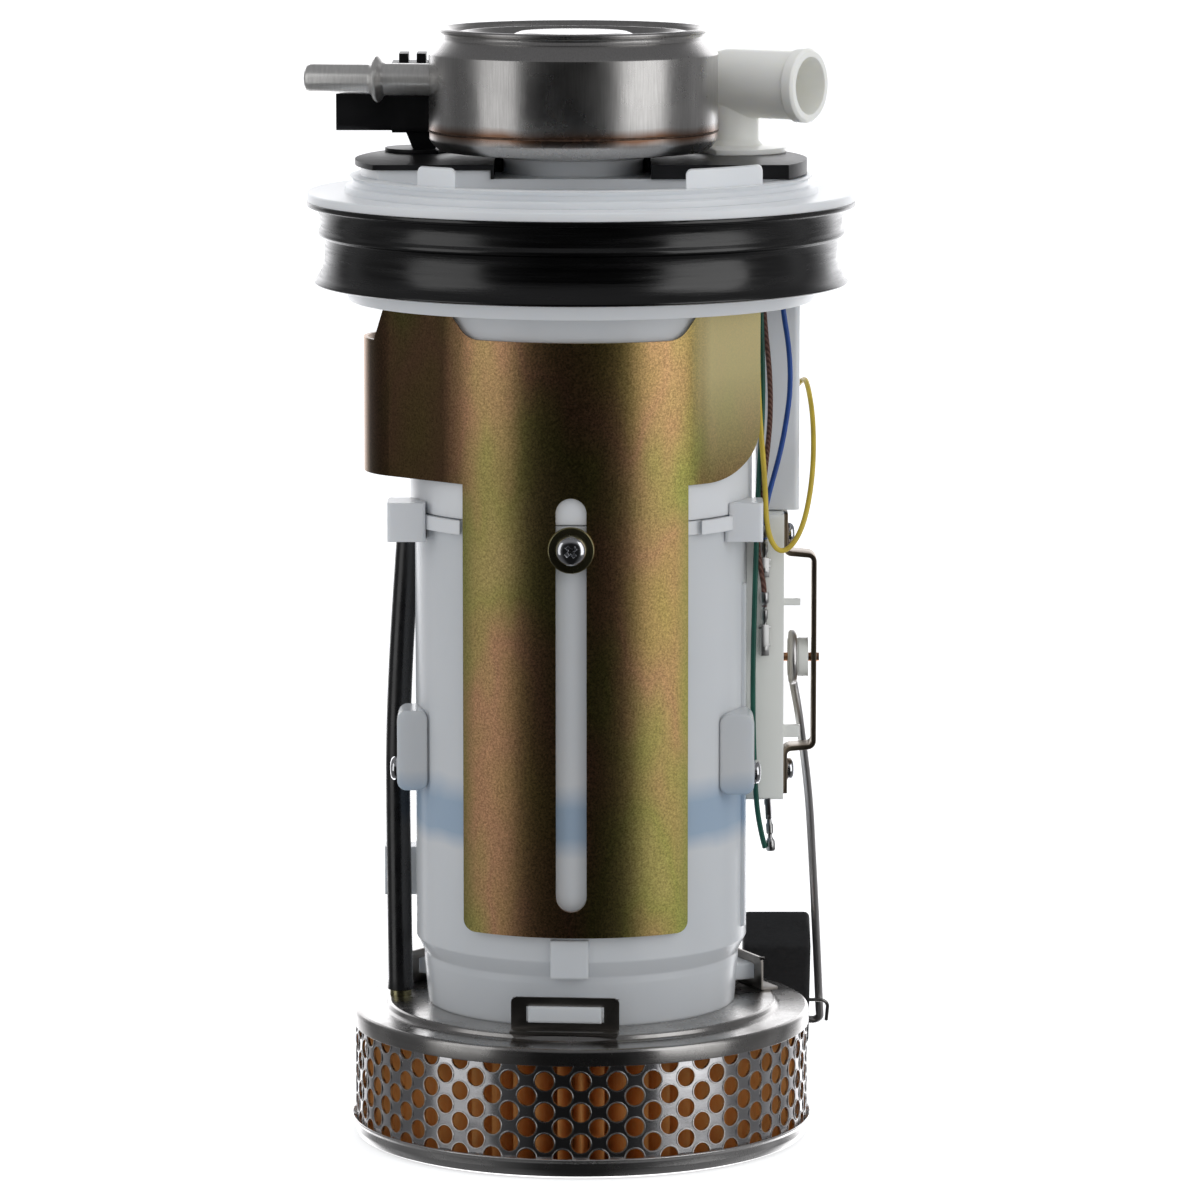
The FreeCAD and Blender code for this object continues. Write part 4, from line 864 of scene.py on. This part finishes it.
def makeNipple(part):
    at, tube, tip, bead, bore, root, length = take(part, "beadAt tube tip bead bore root length")
    profile = [(bore, root), (tube, root), (tube, at - 2.1), (tube + 0.4, at - 1.5), (bead - 0.5, at - 0.85)]
    profile += [(bead, at - 0.3), (bead, at + 0.3), (bead - 0.5, at + 0.85), (tip + 0.4, at + 1.5), (tip, at + 2.1)]
    profile += [(tip, length - 1.5), (tip - 0.35, length - 0.5), (tip - 1.0, length), (bore, length)]
    piece = turnedPiece(profile, 64)
    bevelEdges(piece, 0.3, 3, 20)
    smoothPiece(piece, 50)
    angle = math.radians(part["turn"])
    movePiece(piece, metres((filterCan["x"], 0, part["z"])), (math.cos(angle), math.sin(angle), 0))
    handOver(piece, "outletNipple", "flange_unit", "outlet_nipple", "turnedSteel")
    print("nipple done")


# feed hose

feedHose = {
    "x": 5.0,
    "inner": 6.1,
    "wall": 0.8,
    "low": 127.0,
    "high": 243.0,
    "cuff": 14.0,
    "band": [(0, 0), (0.5, 0.8), (0.5, 3.2), (0, 4.0)],  # out of the wall and in from the end
    "folds": 7,
    "foldSteps": 8,
    "wave": 2.2,
    "stretchLow": 141.0,
    "stretchHigh": 229.0,
}


def makeFeedHose(part):
    inner, low, high, cuff, steps = take(part, "inner low high cuff foldSteps")
    outer = inner + part["wall"]
    pitch = (high - low - 2 * cuff) / part["folds"]
    folds = []
    for step in range(part["folds"] * steps + 1):
        swell = part["wave"] * 0.5 * (1 - math.cos(2 * math.pi * step / steps))
        folds.append((swell, low + cuff + step * pitch / steps))
    outside = [(outer + out, low + along) for out, along in part["band"]]
    outside += [(outer + swell, height) for swell, height in folds]
    outside += [(outer + out, high - along) for out, along in reversed(part["band"])]
    inside = [(inner, low)] + [(inner + swell, height) for swell, height in folds] + [(inner, high)]
    piece = turnedPiece(outside + inside[::-1], 48, part["x"])
    smoothPiece(piece, 50)
    handStretched(piece, "feedHose", "feed_hose", *metres(take(part, "x stretchLow stretchHigh")))
    print("feed hose done")


# check valve spring

valveSpring = {
    "x": 5.0,
    "coil": 2.4,
    "wire": 0.35,
    "turns": 4,
    "sides": 10,
    "stepsPerTurn": 24,
    "lift": 3.0,
}


def makeValveSpring(part):
    low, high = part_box("check_valve_spring")
    x, wire, height = part["x"] * mm, part["wire"] * mm, high[2] - low[2]
    clearSelection()
    bpy.ops.mesh.primitive_circle_add(vertices=part["sides"], radius=wire, location=(x, 0, low[2] + wire),
                                      rotation=(math.pi / 2, 0, 0))
    piece = bpy.context.active_object
    bpy.ops.object.transform_apply(location=False, rotation=True, scale=True)
    editPiece(piece)
    bpy.ops.transform.translate(value=(part["coil"] * mm, 0, 0))
    leaveEdit()
    addModifier(piece, "SCREW", axis="Z", screw_offset=(height - 2 * wire) / part["turns"],
                iterations=part["turns"], steps=part["stepsPerTurn"], render_steps=part["stepsPerTurn"])
    editPiece(piece)
    bpy.ops.mesh.remove_doubles(threshold=0.000002)
    bpy.ops.mesh.select_all(action="DESELECT")
    bpy.ops.mesh.select_non_manifold()
    bpy.ops.mesh.fill_holes(sides=0)
    leaveEdit()
    applyPlace(piece)
    tidyMesh(piece)
    smoothPiece(piece, 50)
    handOver(piece, "valveSpring", "module_base", "check_valve_spring")
    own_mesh(piece)
    print("valve spring done")


# seal

seal = {
    "lip": 72.5,
    "top": 250.7,
    "low": 228.8,
    "inner": 62.55,
    "foot": 63.15,
    "ridge": [  # in from the lip and down from the top
        (0.2, 0), (0, 0.5), (0.2, 1.4), (3.0, 1.8), (3.5, 4.5), (3.7, 7.0), (3.0, 8.1), (3.1, 8.9), (4.3, 9.4),
        (4.8, 12),
    ],
    "flare": [(4.8, 7), (4.2, 4.2), (2.9, 1.8), (1.9, 0.6), (2.3, 0.1), (4.5, 0)],  # in from the lip and up
}


def makeSeal(part):
    lip, top, low, inner, foot = take(part, "lip top low inner foot")
    profile = [(inner, top)] + [(lip - inward, top - down) for inward, down in part["ridge"]]
    profile += [(lip - inward, low + rise) for inward, rise in part["flare"]]
    profile += [(foot, low), (inner, low + 0.25)]
    piece = turnedPiece(profile, 200)
    bevelEdges(piece, 0.3, 2, 22)
    smoothPiece(piece, 40)
    handOver(piece, "flangeSeal", "flange_unit", "flange_seal")
    print("seal done")


# strainer

strainer = {
    "radius": 61.0,
    "sheet": 0.6,
    "rimLow": 5.4,
    "rimHigh": 30.1,
    "shoulder": 34.7,
    "crown": 52.5,
    "crownTop": 36.5,
    "columns": 40,
    "rowsAside": 3,
    "pitch": 8.2,
    "hole": 2.5,
    "holeRim": {"beyond": 0.14, "wire": 0.24, "sunk": 0.08},
    "inlet": 6.05,
}


def makeStrainerCaps(part):
    r, t, top, edge, crownTop, low, high = take(part, "radius sheet shoulder crown crownTop rimLow rimHigh")
    lid = [(r - 0.05, high), (r, high + 0.2), (r, top - 1.0), (r - 0.3, top - 0.3)]
    lid += [(r - 1.0, top), (edge + 0.6, top), (edge - 0.2, top + 0.5), (edge - 0.6, crownTop - 0.3)]
    lid += [(edge - 1.3, crownTop), (part["inlet"], crownTop)]
    cap = sheetPiece(lid, 0, t, 0.2, 2, 20)
    handOver(cap, "strainerLid", "module_base", "strainer_top_cap")
    foot = [(0, 0), (r - 2.6, 0), (r - 0.8, 0.7), (r, 2.6), (r, low - 1.1), (r + 0.85, low - 0.1)]
    base = sheetPiece(foot, 0, t, 0.2, 2, 20)
    handOver(base, "strainerBase", "module_base", "strainer_bottom_cap", "baseSteel")
    print("strainer caps done")


def makeSleeveRims(part):
    # the raised rim of one punched hole in each row, spun round to every column
    rim, columns = part["holeRim"], part["columns"]
    outer = part["radius"] - part["sheet"] - rim["sunk"]
    middle = (part["rimLow"] + part["rimHigh"]) / 2
    pieces = []
    for step in range(-part["rowsAside"], part["rowsAside"] + 1):
        bpy.ops.mesh.primitive_torus_add(
            major_radius=(part["hole"] + rim["beyond"]) * mm, minor_radius=rim["wire"] * mm,
            major_segments=24, minor_segments=6)
        angle = math.radians(180 / columns * (step % 2))
        outward = (math.cos(angle), math.sin(angle), 0)
        place = (outer * mm * outward[0], outer * mm * outward[1], (middle + step * part["pitch"] / 2) * mm)
        pieces.append(movePiece(bpy.context.active_object, place, outward))
    rims = joinPieces(pieces)
    editPiece(rims)
    share = (columns - 1) / columns
    bpy.ops.mesh.spin(steps=columns - 1, dupli=True, angle=2 * math.pi * share, center=(0, 0, 0), axis=(0, 0, 1))
    leaveEdit()
    smoothPiece(rims, 60)
    handOver(rims, "sleeveRims", "module_base", "strainer_sleeve", "rimSteel", False)
    print("sleeve rims done:", len(rims.data.vertices))


clips = {
    "count": 3,
    "turn": -95.0,
    "radius": 46.6,
    "width": 28.4,
    "height": 8.3,
    "sheet": 0.8,
    "side": 4.0,
    "border": 2.1,
    "sag": 0.3,
    "corner": 1.4,
    "bend": 0.5,
    "reach": 4.4,
    "clear": 0.02,
}


def makeClips(part):
    half, height, z = part["width"] / 2, part["height"], strainer["crownTop"]
    clip = uprightPlate(part["radius"], 0, z + height / 2, height, part["width"])
    editPiece(clip, "FACE")
    bpy.ops.mesh.inset(thickness=part["border"] * mm)
    share = (half - part["side"]) / (half - part["border"])
    bpy.ops.transform.resize(value=(1, share, 1), center_override=(0, 0, 0))
    bpy.ops.transform.translate(value=(0, 0, -part["sag"] * mm))
    bpy.ops.mesh.delete(type="FACE")
    selectWhere(clip, lambda at: at.z < (z + 0.1) * mm, "EDGE")
    for out in (part["bend"], part["reach"] - part["bend"]):
        extrudeBy(out, 0, 0)
    leaveEdit()
    selectWhere(clip, lambda at: at.z > (z + height - 0.1) * mm and abs(at.y) > (half - 0.1) * mm)
    bpy.ops.mesh.bevel(offset=part["corner"] * mm, segments=4, affect="VERTICES")
    leaveEdit()
    addSheet(clip, part["sheet"])
    low = min(vertex.co.z for vertex in clip.data.vertices)
    inside = min(vertex.co.x for vertex in clip.data.vertices)
    clip.location = ((part["radius"] + part["clear"]) * mm - inside, 0, z * mm - low)
    applyPlace(clip)
    tidyMesh(clip)
    bevelEdges(clip, 0.14, 2, 40)
    smoothPiece(clip, 35)
    twins = []
    for index in range(part["count"]):
        twin = copyPiece(clip)
        twin.rotation_euler = (0, 0, math.radians(part["turn"] + 360 / part["count"] * index))
        applyPlace(twin)
        twins.append(twin)
    bpy.data.objects.remove(clip)
    handOver(joinPieces(twins), "windowClips", "module_base", "strainer_clips")
    print("clips done")


# screws

screws = {
    "clampScrew": {
        "node": "clamp_screw", "head": 3.95, "height": 2.6, "shank": 2.0, "length": 14.0, "roll": 38,
        "places": [((-2.5, -47.9, 163.5), (0, -1, 0))],
    },
    "sideScrews": {
        "node": "side_screws", "head": 3.2, "height": 2.0, "shank": 1.45, "length": 5.4, "roll": 10,
        "places": [((-48.6, -12.5, 100.6), (-1, 0, 0)), ((45.6, -18.5, 100.6), (1, 0, 0))],
    },
    "bailScrews": {
        "node": "bail_screws", "head": 3.0, "height": 2.0, "shank": 1.45, "length": 7.0, "roll": 35,
        "places": [((55.1, 8, 97), (1, 0, 0)), ((55.1, 8, 160.6), (1, 0, 0))],
    },
}
screwDome = [(1, 0.38), (0.94, 0.64), (0.78, 0.86), (0.5, 0.97), (0, 1)]  # shares of the head's radius and height
screwDrive = {"long": 0.58, "wide": 0.17, "deep": 0.62, "tip": (0.42, 0.55, 1)}


def crossPunch(radius, depth, top):
    # the driver's point: two crossed blades that narrow downwards
    blades = []
    long, wide = radius * screwDrive["long"], radius * screwDrive["wide"]
    for turn in (0, 90):
        blade = boxPiece((-long, -wide, top - depth), (long, wide, top + 1))
        selectWhere(blade, lambda at: at.z < (top - depth / 2) * mm)
        bpy.ops.transform.resize(value=screwDrive["tip"], center_override=(0, 0, (top - depth) * mm))
        leaveEdit()
        blade.rotation_euler = (0, 0, math.radians(turn))
        applyPlace(blade)
        blades.append(blade)
    addModifier(blades[0], "BOOLEAN", operation="UNION", object=blades[1], solver="EXACT")
    bpy.data.objects.remove(blades[1])
    return blades[0]


def panScrew(part):
    r, h, shank, length = take(part, "head height shank length")
    profile = [(0, -length), (shank * 0.8, -length), (shank, -length + 0.5), (shank, 0), (r - 0.15, 0), (r, 0.15)]
    profile += [(r * across, h * up) for across, up in screwDome]
    piece = turnedPiece(profile, 48, 0, False)
    punch = crossPunch(r, h * screwDrive["deep"], h)
    addModifier(piece, "BOOLEAN", operation="DIFFERENCE", object=punch, solver="EXACT")
    bpy.data.objects.remove(punch)
    bevelEdges(piece, 0.09, 2, 38)
    smoothPiece(piece, 32)
    return piece


def makeScrews():
    for name, part in screws.items():
        model = panScrew(part)
        pieces = []
        for place, outward in part["places"]:
            twin = copyPiece(model)
            pieces.append(movePiece(twin, metres(place), outward, part["roll"]))
        bpy.data.objects.remove(model)
        handOver(joinPieces(pieces), name, "module_base", part["node"])
    print("screws done")


washer = {"radius": 6.1, "hole": 2.05, "thick": 1.0, "place": (-2.5, -46.9, 163.5)}


def makeWasher(part):
    r, t = part["radius"], part["thick"]
    profile = [(part["hole"], 0), (r - 0.15, 0), (r, 0.2), (r, t - 0.3), (r - 0.25, t), (part["hole"], t)]
    piece = turnedPiece(profile, 64)
    bevelEdges(piece, 0.1, 2, 20)
    smoothPiece(piece, 35)
    movePiece(piece, metres(part["place"]), (0, -1, 0))
    handOver(piece, "clampWasher", "module_base", "clamp_washer")
    print("washer done")


# level sender

bail = {
    "face": 53.8, "reach": 62.8, "low": 103.0, "high": 154.6, "thick": 1.3, "width": 9.0, "y": 8.0, "ear": 12.0,
    "lean": 0.7, "bend": 1.5, "edge": 0.16,
}


def makeBail(part):
    # a strap is drawn along its bends, then the bends are rounded and it gets its thickness
    t, low, ear, lean, inner = take(part, "thick low ear lean face")
    out, height = part["reach"] - t - inner, part["high"] - low
    strap = uprightPlate(inner, part["y"], low - ear / 2, ear, part["width"])
    selectWhere(strap, lambda at: at.z > (low - 0.1) * mm, "EDGE")
    for move in ((out, 0, lean), (0, 0, height + t - 2 * lean), (-out, 0, lean), (0, 0, ear - t)):
        extrudeBy(*move)
    leaveEdit()
    tidyMesh(strap)
    bevelEdges(strap, part["bend"], 5, 30)
    addSheet(strap, t, 0)
    nearest = min(vertex.co.x for vertex in strap.data.vertices)
    strap.location = (inner * mm - nearest, 0, 0)
    applyPlace(strap)
    tidyMesh(strap)
    bevelEdges(strap, part["edge"], 2, 45)
    smoothPiece(strap, 30)
    handOver(strap, "pivotStrap", "module_base", "sender_bail")
    print("strap done")


terminals = {  # place, direction and roll of each, from its lead's end, and its length
    "crimpUpper": ((48.6, -7.3, 165.0), (0, 0, 1), 20, 14.0),
    "crimpLower": ((48.6, -7.3, 147.0), (0, 0, 1), 20, 17.0),
    "crimpHanging": ((50.6, -4.6, 77.0), (0.06, 0, -1), 100, 15.0),
}


crimpBarrel = [  # radius and height of the insulation crimp, neck, conductor crimp and second neck
    (0, 0), (1.05, 0), (1.25, -0.3), (1.25, -2.6), (1.0, -3.0), (0.65, -3.6), (0.62, -4.4), (0.95, -4.8),
    (1.0, -7.0), (0.7, -7.6), (0.62, -8.4), (0.62, -9.0), (0, -9.0),
]


def crimpTerminal(length):
    # the barrel and a square box with its locking nubs
    barrel = turnedPiece(crimpBarrel, 20, 0, False)
    box = boxPiece((-1.15, -0.75, -length), (1.15, 0.75, -8.6), 0.22)
    nubs = [boxPiece((-1.75, -0.3, -9.8), (1.75, 0.25, -9.1), 0.1)]
    nubs.append(boxPiece((0.9, -0.45, -length + 2.4), (1.6, 0.2, -length + 3.2), 0.1))
    nubs.append(boxPiece((-0.5, -1.0, -length + 1.2), (0.5, -0.6, -length + 2.6), 0.1))
    whole = joinPieces([barrel, box, *nubs])
    smoothPiece(whole, 35)
    return whole


def makeTerminals(parts):
    made = {}
    for name, (place, outward, roll, length) in parts.items():
        crimp = movePiece(crimpTerminal(length), metres(place), outward, roll)
        made[name] = handOver(crimp, name, "module_base", "lead_terminals")
    print("terminals done")
    return made


floatBlock = {
    "left": 44.5, "right": 63.0, "length": 36.0, "thick": 16.0, "at": 111.0, "turn": 28.0,
    "pivot": (8.0, 127.4), "rounding": 1.6,
}


def makeFloat(part):
    half, long = part["thick"] / 2, part["length"] / 2
    block = boxPiece((part["left"], -half, -long), (part["right"], half, long), part["rounding"], 4)
    angle = math.radians(part["turn"])
    y, z = part["pivot"]
    y += part["at"] * math.sin(angle)
    z -= part["at"] * math.cos(angle)
    block.matrix_world = Matrix.Translation((0, y * mm, z * mm)) @ Matrix.Rotation(angle, 4, "X")
    applyPlace(block)
    smoothPiece(block, 35)
    handOver(block, "floatBlock", "level_arm", "float_body")
    print("float done")


# hose and leads

hose = {
    "radius": 3.3,
    "wall": 1.3,
    "flare": 1.07,
    "flareHeight": 2.5,
    "points": [
        (-48.5, 2, 38.15), (-48.75, 2.4, 62), (-49.0, 3.2, 84), (-49.1, 4.2, 104), (-48.3, 7.2, 126),
        (-47.1, 11, 146), (-46.1, 14, 160.5),
    ],
}

leads = {
    "leadBlue": {"node": "wire_blue", "crimp": "crimpUpper", "points": [
        (52, -5.5, 250), (52, -5.5, 229), (56, -4.6, 206), (53.6, -5.2, 187), (49, -7, 171), (48.6, -7.3, 166),
        (48.6, -7.3, 161.2)]},
    "leadBrown": {"node": "wire_brown", "crimp": "crimpLower", "points": [
        (47.4, -7.4, 250), (47.4, -7.4, 227), (50.6, -7.2, 199), (48.4, -8.6, 177), (46.3, -9, 162),
        (47.6, -8.2, 153), (48.6, -7.3, 148), (48.6, -7.3, 143.2)]},
    "leadGreen": {"node": "wire_green", "crimp": "crimpHanging", "points": [
        (47.1, -9.8, 250), (47.1, -9.8, 226), (48.2, -9.6, 200), (46.8, -10.2, 176), (46, -10.4, 150),
        (45.4, -9.6, 120), (46.2, -8.4, 95), (47.4, -7, 84), (49, -5.6, 78)]},
    "leadYellow": {"node": "wire_yellow", "crimp": None, "points": [
        (46.3, -12.2, 250), (46.3, -12.2, 226), (46.6, -12.1, 199), (48.6, -11, 177), (49, -11, 163),
        (53, -10.6, 157), (58.5, -8.5, 163), (61.4, -5, 177), (61.8, 3, 191), (60.6, 14, 200),
        (59.6, 25, 201), (54, 27, 193), (50, 27, 178), (49.6, 27, 160)]},
}
leadSize = {"radius": 0.7, "stretchLow": 0.168, "stretchHigh": 0.248}


def routeCurve(name, points, radius, caps):
    curve = bpy.data.curves.new(name, "CURVE")
    curve.dimensions = "3D"
    curve.resolution_u = curve.render_resolution_u = 14
    curve.bevel_depth = radius * mm
    curve.bevel_resolution = 5
    curve.use_fill_caps = caps
    spline = curve.splines.new("NURBS")
    spline.points.add(len(points) - 1)
    for spot, point in zip(spline.points, points):
        spot.co = (*metres(point), 1)
    spline.order_u = 3
    spline.use_endpoint_u = True
    route = bpy.data.objects.new(name, curve)
    bpy.context.scene.collection.objects.link(route)
    return route


def tubeFromRoute(name, points, radius, caps=True):
    route = routeCurve(name, points, radius, caps)
    pickOnly(route)
    bpy.ops.object.convert(target="MESH")
    return bpy.context.active_object


def routeLine(name, points):
    # the points that a tube follows, read from its own spline
    route = routeCurve(name + "Line", points, 0.0, False)
    line = bpy.data.meshes.new_from_object(route)
    spots = [tuple(vertex.co) for vertex in line.vertices]
    bpy.data.objects.remove(route)
    bpy.data.meshes.remove(line)
    return spots


def declareCord(piece, points):
    spots = routeLine(piece.name, points)


def makeHose(part):
    tube = tubeFromRoute("ventHose", part["points"], part["radius"], False)
    tidyMesh(tube)
    addSheet(tube, part["wall"])
    low = min(vertex.co.z for vertex in tube.data.vertices)
    selectWhere(tube, lambda at: at.z < low + part["flareHeight"] * mm)
    x, y = metres(part["points"][0][:2])
    bpy.ops.transform.resize(value=(part["flare"], part["flare"], 1), center_override=(x, y, low))
    leaveEdit()
    bevelEdges(tube, 0.2, 2, 50)
    smoothPiece(tube, 50)
    handOver(tube, "ventHose", "module_base", "vent_hose")
    declareCord(tube, part["points"])
    print("hose done")


def makeLeads():
    for name, part in leads.items():
        tube = tubeFromRoute(name, part["points"], leadSize["radius"])
        tidyMesh(tube)
        smoothPiece(tube, 50)
        handStretched(tube, name, part["node"], 0, leadSize["stretchLow"], leadSize["stretchHigh"])
        declareCord(tube, part["points"])
    print("leads done")


makeFilterCan(filterCan)
makeNipple(nipple)
makeFeedHose(feedHose)
makeValveSpring(valveSpring)
makeSeal(seal)
makeStrainerCaps(strainer)
makeSleeveRims(strainer)
makeClips(clips)
makeScrews()
makeWasher(washer)
makeBail(bail)
crimps = makeTerminals(terminals)
makeFloat(floatBlock)
makeHose(hose)
makeLeads()
